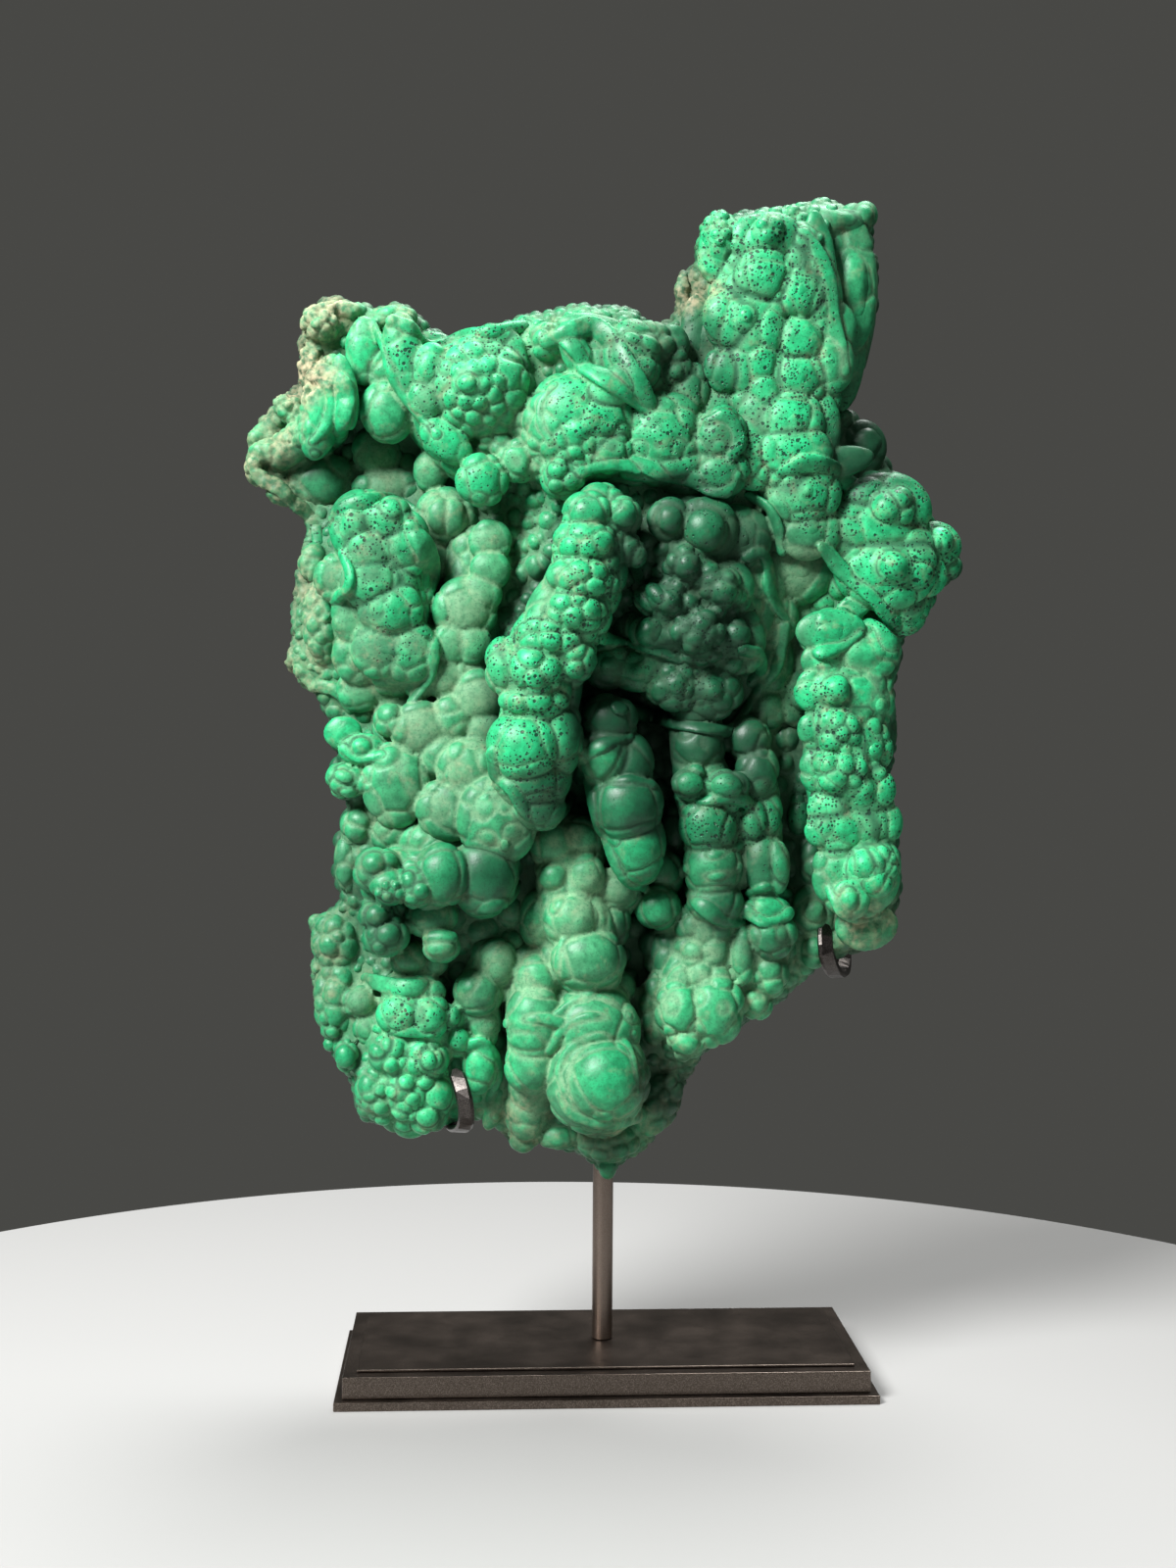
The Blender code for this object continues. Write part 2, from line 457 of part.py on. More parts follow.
def bar_mesh(name, hook, arm, facing, width, thickness):
    """Flat bar along the hook, then sideways along the arm, with a round tip at its start."""
    route = [place(*point) for point in hook + arm]
    smooth = smooth_route(route)
    hook_end = place(*hook[-1])
    turned = Matrix.Rotation(math.radians(facing), 3, "Z") @ Vector((1, 0, 0))
    mesh = bmesh.new()
    rings = []
    passed_hook = False
    for index, centre in enumerate(smooth):
        ahead = smooth[min(index + 1, len(smooth) - 1)] - smooth[max(index - 1, 0)]
        ahead.normalize()
        passed_hook = passed_hook or (centre - hook_end).length < width
        if passed_hook:
            out = Vector((0, 1, 0)) - ahead * ahead.y
            out.normalize()
            side = ahead.cross(out)
        else:
            side = turned - ahead * ahead.dot(turned)
            side.normalize()
            out = side.cross(ahead)
        run = (centre - smooth[0]).length
        share = min(1.0, run / (width * 0.5))
        half = 0.5 * width * max(0.35, math.sqrt(1.0 - (1.0 - share) ** 2))
        rings.append(bar_ring(mesh, centre, side * half, out * 0.5 * thickness))
    for start, end in zip(rings, rings[1:]):
        for index in range(len(start)):
            after = (index + 1) % len(start)
            mesh.faces.new((start[index], start[after], end[after], end[index]))
    mesh.faces.new(reversed(rings[0]))
    mesh.faces.new(rings[-1])
    bmesh.ops.recalc_face_normals(mesh, faces=mesh.faces)
    bmesh.ops.triangulate(mesh, faces=mesh.faces)
    shape = bpy.data.meshes.new(name)
    mesh.to_mesh(shape)
    mesh.free()
    return shape


def bar_ring(mesh, centre, side, out):
    """Section of the bar: a flat strip with its long edges rounded off."""
    corner = 0.72
    marks = [(-1.0, -0.3), (-corner, -1.0), (corner, -1.0), (1.0, -0.3),
             (1.0, 0.3), (corner, 1.0), (-corner, 1.0), (-1.0, 0.3)]
    return [mesh.verts.new(centre + side * across + out * deep) for across, deep in marks]


def smooth_route(points):
    """Points along a smooth curve through the given ones."""
    steps = ROUTE_STEPS
    padded = [points[0] * 2 - points[1]] + points + [points[-1] * 2 - points[-2]]
    route = []
    for index in range(1, len(padded) - 2):
        before, start, end, after = padded[index - 1:index + 3]
        for step in range(steps):
            share = step / steps
            bend = (2 * before - 5 * start + 4 * end - after) * share ** 2
            twist = (3 * start - before - 3 * end + after) * share ** 3
            route.append(0.5 * (2 * start + (end - before) * share + bend + twist))
    route.append(points[-1].copy())
    return route


HOOKS = {
    "left_hook_arm": (LEFT_HOOK, LEFT_ARM, LEFT_HOOK_FACING),
    "right_hook_arm": (RIGHT_HOOK, RIGHT_ARM, RIGHT_HOOK_FACING),
}


def add_hook(name, material):
    hook, arm, facing = HOOKS[name]
    shape = bar_mesh(name, hook, arm, facing, BAR_WIDTH, BAR_THICKNESS)
    shape.shade_smooth()
    shape.set_sharp_from_angle(angle=math.radians(50))
    return add_object(name, shape, material)


def add_clearance(name):
    """Cutter that leaves the stone a little room around a hook."""
    hook, arm, facing = HOOKS[name]
    room = 2 * HOOK_CLEARANCE
    shape = bar_mesh(name + "_room", hook, arm, facing, BAR_WIDTH + room, BAR_THICKNESS + room)
    cutter = add_object(name + "_room", shape, None)
    cutter.hide_render = True
    cutter.display_type = "WIRE"
    return cutter


def add_plate(name, inset, bottom, height, material):
    """Rectangular plate of the base, with its edges broken."""
    mesh = bmesh.new()
    size = Matrix.Diagonal((BASE_WIDTH - 2 * inset, BASE_DEPTH - 2 * inset, height, 1.0))
    bmesh.ops.create_cube(mesh, size=1.0, matrix=size)
    shape = bpy.data.meshes.new(name)
    mesh.to_mesh(shape)
    mesh.free()
    plate = add_object(name, shape, material)
    plate.location.z = bottom + height / 2
    bevel = plate.modifiers.new("Broken edges", "BEVEL")
    bevel.width = PLATE_EDGE_ROUND
    bevel.segments = 2
    bevel.limit_method = "ANGLE"
    return plate


def add_stem(bottom, material):
    """Round stem up the back of the stone, with a rounded top."""
    mesh = bmesh.new()
    height = STEM_TOP - bottom
    bmesh.ops.create_cone(
        mesh, cap_ends=True, segments=STEM_SIDES, radius1=STEM_DIAMETER / 2,
        radius2=STEM_DIAMETER / 2, depth=height,
    )
    shape = bpy.data.meshes.new("stem")
    mesh.to_mesh(shape)
    mesh.free()
    shape.shade_smooth()
    shape.set_sharp_from_angle(angle=math.radians(40))
    stem = add_object("stem", shape, material)
    stem.location.z = bottom + height / 2
    bevel = stem.modifiers.new("Rounded ends", "BEVEL")
    bevel.width = PLATE_EDGE_ROUND
    bevel.segments = 2
    bevel.limit_method = "ANGLE"
    return stem


def main():
    for old in list(bpy.data.objects):
        bpy.data.objects.remove(old)
    block_bottom = FOOT_PLATE_HEIGHT + GAP
    top_plate_bottom = FOOT_PLATE_HEIGHT + BLOCK_HEIGHT + GAP
    base_top = FOOT_PLATE_HEIGHT + BLOCK_HEIGHT + TOP_PLATE_HEIGHT
    bronze = make_material("bronze_base", (0.075, 0.058, 0.050), 0.45, 0.6)
    stem_bronze = make_material("bronze_stem", (0.16, 0.12, 0.10), 0.40, 0.8)
    pewter = make_material("dark_hooks", (0.11, 0.095, 0.09), 0.38, 0.8)
    add_plate("base_foot_plate", 0.0, 0.0, FOOT_PLATE_HEIGHT, bronze)
    add_plate("base_block", BLOCK_INSET, block_bottom, BLOCK_HEIGHT - GAP, bronze)
    inset = BLOCK_INSET + TOP_PLATE_INSET
    add_plate("base_top_plate", inset, top_plate_bottom, TOP_PLATE_HEIGHT - GAP, bronze)
    add_stem(base_top + GAP, stem_bronze)
    for name in HOOKS:
        add_hook(name, pewter)
    add_stone(HOOKS)


main()
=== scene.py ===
"""Botryoidal malachite on its hooked display stand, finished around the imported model.

The stone is grown from lobes at stated depths, bubbles and shell lips seated on them, and small
bubbles over the bare crust. Its skin is divided into low plates. Each part of the growth is one closed
mesh that runs into the crust behind it. Places are given as seen from the camera's standing point:
across and down in pixels of a 1200 by 1600 picture, and forward in millimetres in front of the stem's
axis.
"""

import math

import bmesh
import bpy
import numpy as np
from bpy.props import FloatProperty, FloatVectorProperty, IntProperty, PointerProperty
from mathutils import Matrix, Vector
from mathutils.bvhtree import BVHTree
from mathutils.kdtree import KDTree


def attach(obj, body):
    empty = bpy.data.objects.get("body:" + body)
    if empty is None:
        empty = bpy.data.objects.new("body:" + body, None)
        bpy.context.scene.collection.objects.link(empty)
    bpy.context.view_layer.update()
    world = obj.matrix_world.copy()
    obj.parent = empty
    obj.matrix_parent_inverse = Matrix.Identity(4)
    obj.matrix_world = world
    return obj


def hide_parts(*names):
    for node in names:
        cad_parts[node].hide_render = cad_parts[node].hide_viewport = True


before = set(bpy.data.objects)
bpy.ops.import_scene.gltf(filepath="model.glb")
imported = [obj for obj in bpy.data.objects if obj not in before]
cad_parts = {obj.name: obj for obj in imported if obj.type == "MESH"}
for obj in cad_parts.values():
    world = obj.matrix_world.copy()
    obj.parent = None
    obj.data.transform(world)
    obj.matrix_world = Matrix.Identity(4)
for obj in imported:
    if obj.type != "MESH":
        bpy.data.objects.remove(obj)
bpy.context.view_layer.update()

bl_info = {
    "name": "Malachite on a Stand",
    "version": (1, 0, 0),
    "blender": (4, 5, 0),
    "location": "3D View > Sidebar > Malachite",
    "description": "Grows a botryoidal malachite specimen and finishes its bronze stand",
    "category": "Add Mesh",
}

MM = 0.001

# Standing point of the camera, and the picture that places are read in
EYE = np.array((-0.0472, -0.7290, 0.2520))
FOCAL = 1917.8
PICTURE_WIDTH = 1200.0
PICTURE_HEIGHT = 1600.0
TURN = -0.0553
DIP = 0.0302
ROLL = 0.0062
SENSOR = 36.0

# How far back a lobe may reach, in millimetres in front of the stem's axis, and how many millimetres
# further back a column may
REAR_LIMIT = 5.5
COLUMN_REAR = 3.0

# Usual distances in front of the stem's axis, in millimetres, at which pixels are turned into sizes:
# for plates, for the small bubbles of the hollows and for those of the rear. The last one is where a
# place lies that is seen beside the form.
PLATE_FORWARD = 28.0
HOLLOW_FORWARD = 24.0
REAR_FORWARD = 0.0
MISSED_FORWARD = 22.0

# A distance or length that only keeps a division from failing
TINY = 1e-9

# Lobes of the growth: across, down, forward, half-width and half-height, then the lean in degrees
# where there is one, and last the grain in pixels of a grainy lobe. A grainy lobe keeps its stated
# shape and is drawn in a little. The others are swollen and flattened as LOBE_SHAPE says.
UPPER_LEFT_RIM = [
    (275, 462, 15, 22, 16, 0, 4), (262, 480, 14, 14, 16, 20, 4), (285, 505, 15, 14, 12, 40, 4),
    (300, 420, 18, 26, 16, 35, 4), (320, 375, 20, 16, 28, 0, 4), (330, 330, 22, 22, 22, 0, 4),
    (352, 318, 22, 24, 12, 0, 4), (330, 415, 28, 18, 42, 12), (352, 400, 33, 10, 30, -8),
    (372, 358, 26, 15, 27), (395, 378, 26, 18, 18), (396, 420, 28, 22, 26), (404, 325, 26, 24, 14, 0, 6),
    (440, 350, 26, 18, 9), (385, 462, 15, 20, 22), (330, 490, 11, 32, 22), (395, 498, 17, 28, 17),
    (440, 480, 23, 14, 18), (455, 528, 24, 25, 24), (440, 575, 24, 18, 22), (492, 490, 38, 21, 21),
]

UPPER_PATCH = [
    (490, 400, 26, 62, 58, 0, 7), (412, 362, 34, 16, 34, -8), (440, 376, 36, 16, 20),
    (437, 407, 36, 16, 16), (455, 450, 36, 15, 24, -50), (486, 395, 27, 46, 44, 0, 8),
    (505, 346, 34, 18, 12), (525, 380, 34, 14, 34, -10), (535, 430, 34, 18, 22, 0, 6),
    (530, 470, 36, 18, 18), (575, 485, 42, 20, 20), (560, 350, 32, 24, 22, 0, 6),
]

PETALS = [
    (612, 340, 36, 34, 14, 12), (632, 392, 46, 34, 15, -32), (588, 360, 40, 12, 26, -25),
    (645, 365, 40, 24, 30), (663, 350, 38, 18, 18), (686, 352, 36, 14, 16), (690, 378, 36, 14, 14),
    (592, 437, 36, 47, 46), (620, 460, 44, 20, 18), (625, 482, 38, 34, 10, 8), (675, 448, 36, 38, 38, 8),
    (678, 478, 44, 36, 10, -8), (735, 445, 42, 22, 24), (735, 482, 42, 24, 20), (702, 402, 34, 18, 26),
    (712, 345, 28, 14, 34), (698, 302, 24, 9, 26, 0, 4),
]

RIGHT_COLUMN = [
    (740, 259, 34, 19, 23), (782, 247, 38, 26, 21), (780, 283, 40, 22, 22), (752, 290, 36, 14, 20),
    (759, 326, 36, 28, 28), (788, 333, 38, 17, 20), (747, 376, 36, 19, 19), (776, 371, 38, 15, 16),
    (782, 397, 38, 14, 13), (743, 416, 34, 24, 14), (818, 268, 40, 15, 15), (818, 297, 40, 20, 20),
    (838, 265, 38, 10, 34, -10), (816, 348, 40, 17, 17), (815, 383, 38, 22, 22), (846, 370, 38, 18, 22),
    (850, 335, 36, 16, 20), (866, 290, 28, 20, 48), (865, 370, 26, 12, 34, 8), (838, 407, 36, 14, 12),
    (848, 226, 30, 24, 9, 0, 1), (807, 430, 40, 24, 22), (838, 438, 38, 14, 26), (770, 462, 38, 22, 26),
    (812, 460, 42, 26, 18), (786, 482, 38, 16, 14), (840, 475, 38, 36, 12, -12), (820, 503, 38, 26, 24),
    (824, 540, 36, 24, 22), (878, 458, 22, 18, 20),
]

RIGHT_BLOCK = [
    (903, 526, 30, 33, 30), (862, 546, 32, 22, 22), (904, 580, 32, 36, 30), (944, 559, 26, 25, 20),
    (920, 616, 28, 20, 22), (942, 587, 30, 17, 16), (882, 610, 34, 40, 9, -42),
]

RIGHT_FINGER = [
    (848, 645, 38, 25, 16), (843, 674, 38, 18, 14), (877, 668, 36, 28, 20), (851, 705, 38, 28, 20),
    (883, 712, 34, 20, 32), (857, 745, 38, 29, 21), (883, 762, 36, 19, 22), (858, 785, 38, 29, 22),
    (878, 805, 38, 24, 22), (852, 825, 38, 20, 18), (888, 840, 36, 22, 24), (862, 845, 38, 28, 20),
    (883, 888, 36, 25, 32), (864, 890, 36, 24, 30), (868, 918, 42, 14, 15), (884, 945, 32, 22, 17),
]

RIGHT_HOLLOW = [
    (815, 580, 26, 28, 28), (784, 590, 30, 16, 30), (790, 628, 28, 18, 26), (788, 672, 26, 16, 26),
    (812, 712, 24, 16, 22), (784, 722, 24, 16, 16), (803, 775, 20, 12, 14), (815, 830, 20, 16, 26, 0, 9),
    (830, 880, 20, 18, 30, 0, 9), (830, 932, 22, 18, 22), (830, 970, 24, 16, 20, 0, 8),
]

HOOD = [
    (702, 562, 30, 46, 46), (738, 605, 28, 42, 54), (700, 650, 29, 48, 42), (662, 655, 26, 36, 31, 20),
    (683, 530, 44, 17, 17), (720, 541, 42, 25, 25), (752, 550, 36, 26, 26), (784, 530, 30, 14, 34, -12),
    (700, 575, 42, 24, 18), (735, 600, 41, 25, 24), (680, 612, 42, 24, 17), (712, 645, 41, 27, 24),
    (748, 652, 37, 24, 27), (672, 650, 39, 24, 15, 20), (655, 686, 37, 28, 15), (690, 700, 38, 24, 19),
    (725, 705, 36, 24, 22), (620, 680, 36, 18, 18),
]

CENTRE_FINGER = [
    (600, 525, 52, 28, 26, 0, 8), (634, 528, 50, 20, 20), (640, 560, 50, 17, 17),
    (598, 556, 54, 36, 28, 0, 7), (592, 592, 56, 38, 28, 0, 7), (585, 624, 56, 36, 28, 0, 8),
    (562, 652, 56, 38, 26, 0, 9), (518, 680, 52, 22, 30), (548, 684, 56, 32, 30, 0, 10),
    (585, 672, 54, 26, 26, 0, 9), (545, 716, 54, 38, 24, 0, 10), (535, 762, 52, 36, 36),
    (568, 752, 50, 26, 40), (542, 795, 48, 38, 32), (546, 820, 46, 30, 28),
]

FINGER_B = [
    (622, 735, 40, 27, 26), (618, 772, 42, 27, 30), (640, 785, 40, 26, 36), (640, 822, 42, 35, 36),
    (650, 862, 40, 28, 38),
]

BALL_C = [
    (671, 926, 30, 22, 22), (678, 890, 24, 20, 24), (690, 850, 18, 16, 30),
]

FINGER_D = [
    (710, 725, 30, 26, 26), (712, 762, 32, 27, 28), (702, 800, 40, 17, 15), (742, 802, 40, 22, 16),
    (722, 842, 36, 28, 30), (746, 850, 32, 14, 30), (767, 842, 34, 15, 23), (728, 885, 34, 29, 34),
    (730, 920, 34, 27, 24), (712, 945, 30, 22, 18), (715, 970, 30, 30, 22, 0, 10),
    (735, 985, 28, 22, 30, 0, 9), (710, 1000, 32, 28, 20, 0, 9), (695, 1030, 34, 26, 30),
    (728, 1030, 34, 30, 36), (700, 1064, 34, 17, 17), (668, 1030, 26, 18, 40, 0, 8),
    (682, 975, 22, 20, 34, 0, 8),
]

FINGER_E = [
    (764, 755, 30, 22, 24), (772, 790, 32, 22, 30), (782, 835, 32, 16, 30), (778, 880, 32, 22, 36),
    (795, 885, 36, 11, 26), (783, 928, 34, 24, 14), (786, 955, 32, 26, 24), (783, 992, 28, 24, 26, 0, 9),
    (772, 1022, 28, 16, 18), (757, 975, 34, 12, 30),
]

LEFT_BLOCK = [
    (364, 543, 38, 19, 20), (396, 536, 40, 20, 16), (410, 556, 38, 22, 26), (378, 565, 40, 20, 20),
    (380, 594, 40, 24, 22), (398, 622, 40, 24, 22), (421, 600, 34, 13, 44), (388, 662, 38, 22, 22),
    (416, 664, 38, 22, 24), (428, 690, 34, 14, 18), (345, 590, 34, 18, 18), (361, 628, 34, 16, 23),
    (364, 670, 32, 18, 21), (368, 705, 28, 18, 16), (330, 635, 24, 22, 44, 0, 5),
    (320, 575, 22, 16, 22, 0, 4), (400, 700, 30, 22, 16, 0, 7),
]

LEFT_SLOPE = [
    (475, 622, 34, 24, 24), (462, 656, 36, 16, 16), (480, 656, 36, 16, 16), (500, 582, 36, 15, 15),
    (490, 606, 36, 16, 16), (500, 552, 34, 16, 16), (490, 712, 36, 21, 21), (494, 748, 36, 20, 20),
    (462, 735, 36, 20, 20), (430, 745, 36, 24, 22), (455, 690, 34, 20, 18), (450, 770, 38, 16, 16),
    (480, 786, 40, 26, 24), (462, 826, 40, 28, 24), (436, 795, 34, 13, 20), (508, 836, 44, 31, 34),
    (400, 735, 34, 20, 20, 0, 8), (350, 748, 34, 14, 12), (370, 765, 36, 18, 12),
    (356, 796, 34, 22, 18, 0, 6), (405, 800, 36, 26, 32),
]

LOWER_LEFT_LOBES = [
    (370, 842, 26, 24, 22, 0, 10), (405, 848, 30, 26, 22), (355, 880, 24, 16, 34, 0, 10),
    (440, 862, 34, 32, 26), (452, 893, 48, 26, 30), (494, 893, 42, 32, 40), (386, 888, 44, 24, 22),
    (400, 905, 48, 26, 20, 0, 6), (426, 906, 50, 18, 20), (384, 936, 42, 16, 16), (394, 955, 42, 22, 20),
    (440, 935, 38, 26, 22), (450, 965, 42, 18, 17), (417, 978, 32, 18, 18), (440, 985, 30, 16, 12),
    (508, 983, 32, 20, 24), (488, 1012, 32, 24, 24), (494, 1042, 30, 16, 30),
]

LOWER_LEFT_CLUSTER = [
    (345, 960, 16, 28, 34, 0, 5), (345, 1020, 18, 26, 44, 0, 5), (368, 1022, 26, 18, 16),
    (376, 1050, 26, 14, 16), (353, 1078, 28, 12, 16), (422, 1012, 34, 30, 18), (410, 1034, 36, 24, 22),
    (436, 1036, 36, 22, 22), (400, 1075, 34, 26, 24, 0, 9), (434, 1080, 34, 26, 26, 0, 9),
    (385, 1110, 30, 24, 30, 0, 7), (415, 1112, 32, 26, 30, 0, 8), (444, 1118, 32, 17, 34),
    (392, 1132, 30, 14, 14), (412, 1138, 30, 14, 14), (436, 1138, 32, 18, 18), (462, 1038, 32, 12, 13),
    (468, 1062, 30, 15, 16), (490, 1088, 30, 17, 26), (506, 1128, 22, 10, 24, 20),
]

LOWER_CENTRE = [
    (566, 860, 32, 26, 24), (592, 855, 32, 22, 22), (566, 895, 34, 18, 20), (597, 894, 36, 20, 24),
    (630, 908, 32, 22, 20), (584, 938, 38, 27, 28), (622, 940, 30, 20, 28), (553, 938, 30, 22, 30),
    (600, 978, 40, 36, 30), (570, 985, 34, 20, 28), (548, 1000, 34, 24, 26), (624, 1010, 24, 24, 22),
    (546, 1045, 38, 29, 40), (545, 1085, 36, 28, 30), (604, 1050, 36, 46, 42), (608, 1100, 38, 50, 52),
    (618, 1102, 48, 38, 38), (538, 1130, 24, 22, 32), (535, 1158, 20, 16, 16), (570, 1160, 24, 22, 12),
    (620, 1165, 24, 34, 22, 0, 5), (668, 1125, 20, 26, 40, 30, 5), (620, 1190, 18, 10, 14, 0, 4),
]

# Smooth columns under the lobes, each a path of places with across, down, forward, half-width in
# pixels and half-depth in millimetres
COLUMNS = {
    "upper_growth": [
        [(412, 345, 26, 20, 7), (425, 400, 26, 24, 9), (452, 450, 24, 24, 9), (492, 488, 30, 18, 7)],
        [(470, 375, 22, 34, 11), (500, 395, 24, 44, 12), (530, 420, 24, 40, 11)],
        [(585, 350, 30, 26, 8), (620, 375, 32, 30, 10), (655, 395, 32, 26, 9)],
        [(565, 420, 30, 28, 11), (592, 437, 30, 42, 14), (620, 450, 32, 34, 12)],
        [(660, 400, 28, 26, 10), (680, 440, 32, 40, 11), (700, 470, 34, 40, 9)],
        [(575, 485, 36, 16, 7), (530, 470, 32, 16, 7), (500, 450, 30, 18, 7)],
        [(330, 385, 22, 18, 6), (325, 430, 24, 20, 7), (285, 465, 14, 18, 6)],
    ],
    "right_growth": [
        [(768, 258, 29, 38, 12), (770, 300, 31, 48, 13), (772, 350, 31, 46, 13), (778, 400, 31, 44, 12),
         (792, 450, 32, 40, 12), (808, 500, 32, 36, 12), (822, 540, 29, 28, 10)],
        [(816, 256, 32, 28, 11), (825, 300, 32, 34, 12), (832, 350, 30, 30, 11), (835, 395, 29, 22, 9)],
        [(872, 250, 22, 18, 9), (874, 300, 22, 22, 9), (868, 360, 20, 18, 8), (858, 400, 20, 16, 7)],
        [(855, 540, 28, 30, 11), (895, 545, 28, 44, 12), (918, 568, 26, 42, 12), (915, 605, 26, 32, 10)],
        [(848, 650, 30, 30, 9), (860, 690, 28, 40, 11), (862, 740, 28, 44, 12), (862, 790, 29, 42, 12),
         (868, 840, 29, 36, 12), (878, 890, 28, 33, 12), (882, 940, 24, 24, 8)],
    ],
    "finger_growth": [
        [(612, 522, 44, 30, 9), (606, 560, 48, 38, 11), (592, 605, 50, 40, 12), (568, 650, 50, 44, 12),
         (552, 690, 48, 44, 12), (548, 730, 46, 40, 12), (544, 775, 44, 42, 12), (545, 815, 43, 32, 9)],
        [(622, 735, 36, 24, 8), (626, 775, 38, 28, 9), (636, 815, 38, 34, 10), (650, 865, 36, 27, 9),
         (656, 885, 35, 18, 6)],
        [(710, 740, 28, 28, 9), (712, 780, 30, 28, 9), (724, 820, 31, 34, 10), (728, 870, 31, 28, 10),
         (730, 920, 31, 27, 9)],
        [(730, 930, 30, 26, 9), (722, 970, 28, 32, 9), (712, 1020, 29, 42, 10), (700, 1060, 30, 18, 6)],
        [(764, 755, 26, 20, 7), (774, 800, 28, 20, 7), (780, 850, 28, 18, 7), (782, 900, 29, 20, 7)],
        [(785, 950, 28, 24, 8), (780, 1000, 25, 22, 7)],
    ],
    "left_growth": [
        [(372, 535, 34, 36, 8), (388, 580, 35, 38, 9), (398, 630, 35, 34, 9), (402, 670, 32, 36, 8)],
        [(480, 560, 24, 26, 8), (480, 620, 26, 32, 9), (478, 690, 27, 34, 10), (476, 750, 29, 36, 10),
         (490, 810, 33, 38, 11), (508, 845, 34, 26, 9)],
        [(400, 720, 25, 24, 7), (412, 780, 27, 30, 8), (398, 830, 26, 30, 8)],
    ],
    "lower_growth": [
        [(405, 890, 38, 26, 8), (445, 892, 40, 26, 9), (490, 893, 38, 32, 11), (508, 893, 36, 22, 9)],
        [(582, 865, 28, 36, 10), (582, 905, 30, 36, 11), (590, 945, 32, 38, 12), (602, 985, 33, 36, 11)],
        [(545, 990, 28, 30, 9), (546, 1040, 32, 30, 10), (546, 1090, 30, 28, 9), (540, 1135, 22, 22, 6)],
        [(605, 1035, 30, 40, 11), (605, 1075, 31, 48, 13), (612, 1115, 31, 46, 12)],
        [(420, 1020, 29, 34, 8), (418, 1060, 28, 36, 9), (415, 1100, 26, 38, 9), (418, 1130, 24, 32, 7)],
        [(386, 900, 36, 18, 6), (392, 945, 36, 22, 7)],
        [(500, 975, 27, 20, 7), (488, 1015, 28, 22, 8), (494, 1050, 26, 16, 7)],
    ],
}

# Bubbles seated on the form: across, down, half-width, half-height and share that stands out, then
# the lean in degrees where there is one
KNOBS = {
    "upper_growth": [
        (477, 392, 11, 10, 0.55), (569, 478, 12, 12, 0.6), (585, 491, 13, 11, 0.6),
        (568, 495, 10, 9, 0.5), (645, 345, 12, 8, 0.5, 20), (662, 350, 14, 9, 0.55, 30),
        (680, 351, 11, 10, 0.5), (692, 363, 10, 9, 0.5), (690, 379, 9, 9, 0.5), (447, 524, 15, 20, 0.5),
        (463, 527, 15, 21, 0.5),
    ],
    "right_growth": [
        (867, 918, 11, 14, 0.5),
    ],
    "finger_growth": [
        (640, 521, 17, 16, 0.5), (658, 550, 11, 11, 0.6), (652, 568, 10, 12, 0.5), (627, 597, 9, 9, 0.6),
        (712, 786, 9, 9, 0.5), (703, 799, 17, 13, 0.5), (742, 802, 18, 13, 0.5), (722, 803, 7, 7, 0.5),
        (746, 822, 13, 12, 0.5), (770, 836, 13, 21, 0.5), (795, 880, 10, 22, 0.5, -12),
        (700, 1063, 18, 16, 0.5),
    ],
    "left_growth": [
        (550, 578, 15, 15, 0.5), (350, 792, 11, 8, 0.5, 20), (338, 790, 8, 8, 0.5),
        (356, 808, 10, 8, 0.5), (369, 800, 8, 9, 0.5), (368, 762, 12, 11, 0.55),
    ],
    "lower_growth": [
        (393, 903, 5, 5, 0.7), (386, 911, 5, 5, 0.7), (395, 915, 6, 6, 0.7), (404, 903, 5, 5, 0.7),
        (408, 912, 6, 6, 0.7), (430, 909, 9, 9, 0.7), (416, 898, 9, 9, 0.55), (420, 917, 8, 7, 0.6),
        (408, 925, 10, 7, 0.55), (381, 880, 14, 13, 0.5), (397, 877, 11, 9, 0.5), (384, 934, 12, 12, 0.6),
        (396, 954, 13, 12, 0.5), (387, 967, 9, 9, 0.5), (448, 956, 17, 9, 0.6), (448, 968, 15, 10, 0.5),
        (565, 894, 17, 16, 0.5), (462, 1037, 12, 13, 0.5), (466, 1060, 13, 14, 0.5),
        (388, 1067, 13, 13, 0.5), (440, 1080, 12, 13, 0.5), (415, 1104, 10, 10, 0.5),
        (433, 1104, 11, 11, 0.5), (447, 1118, 14, 18, 0.5), (388, 1112, 8, 8, 0.5),
        (400, 1115, 8, 8, 0.5), (388, 1130, 11, 11, 0.5), (407, 1137, 11, 10, 0.5),
        (421, 1139, 8, 8, 0.5), (436, 1140, 13, 12, 0.5), (353, 1077, 12, 16, 0.6),
        (340, 1053, 8, 8, 0.6), (335, 1067, 7, 7, 0.6),
    ],
    "hood_growth": [
        (683, 530, 16, 16, 0.55), (718, 541, 24, 24, 0.5), (675, 560, 11, 10, 0.5),
        (672, 584, 10, 9, 0.5), (655, 612, 8, 15, 0.5, -40), (668, 604, 8, 14, 0.5, -40),
        (802, 777, 9, 9, 0.6), (832, 930, 12, 13, 0.5), (770, 675, 10, 14, 0.5, 20),
    ],
}

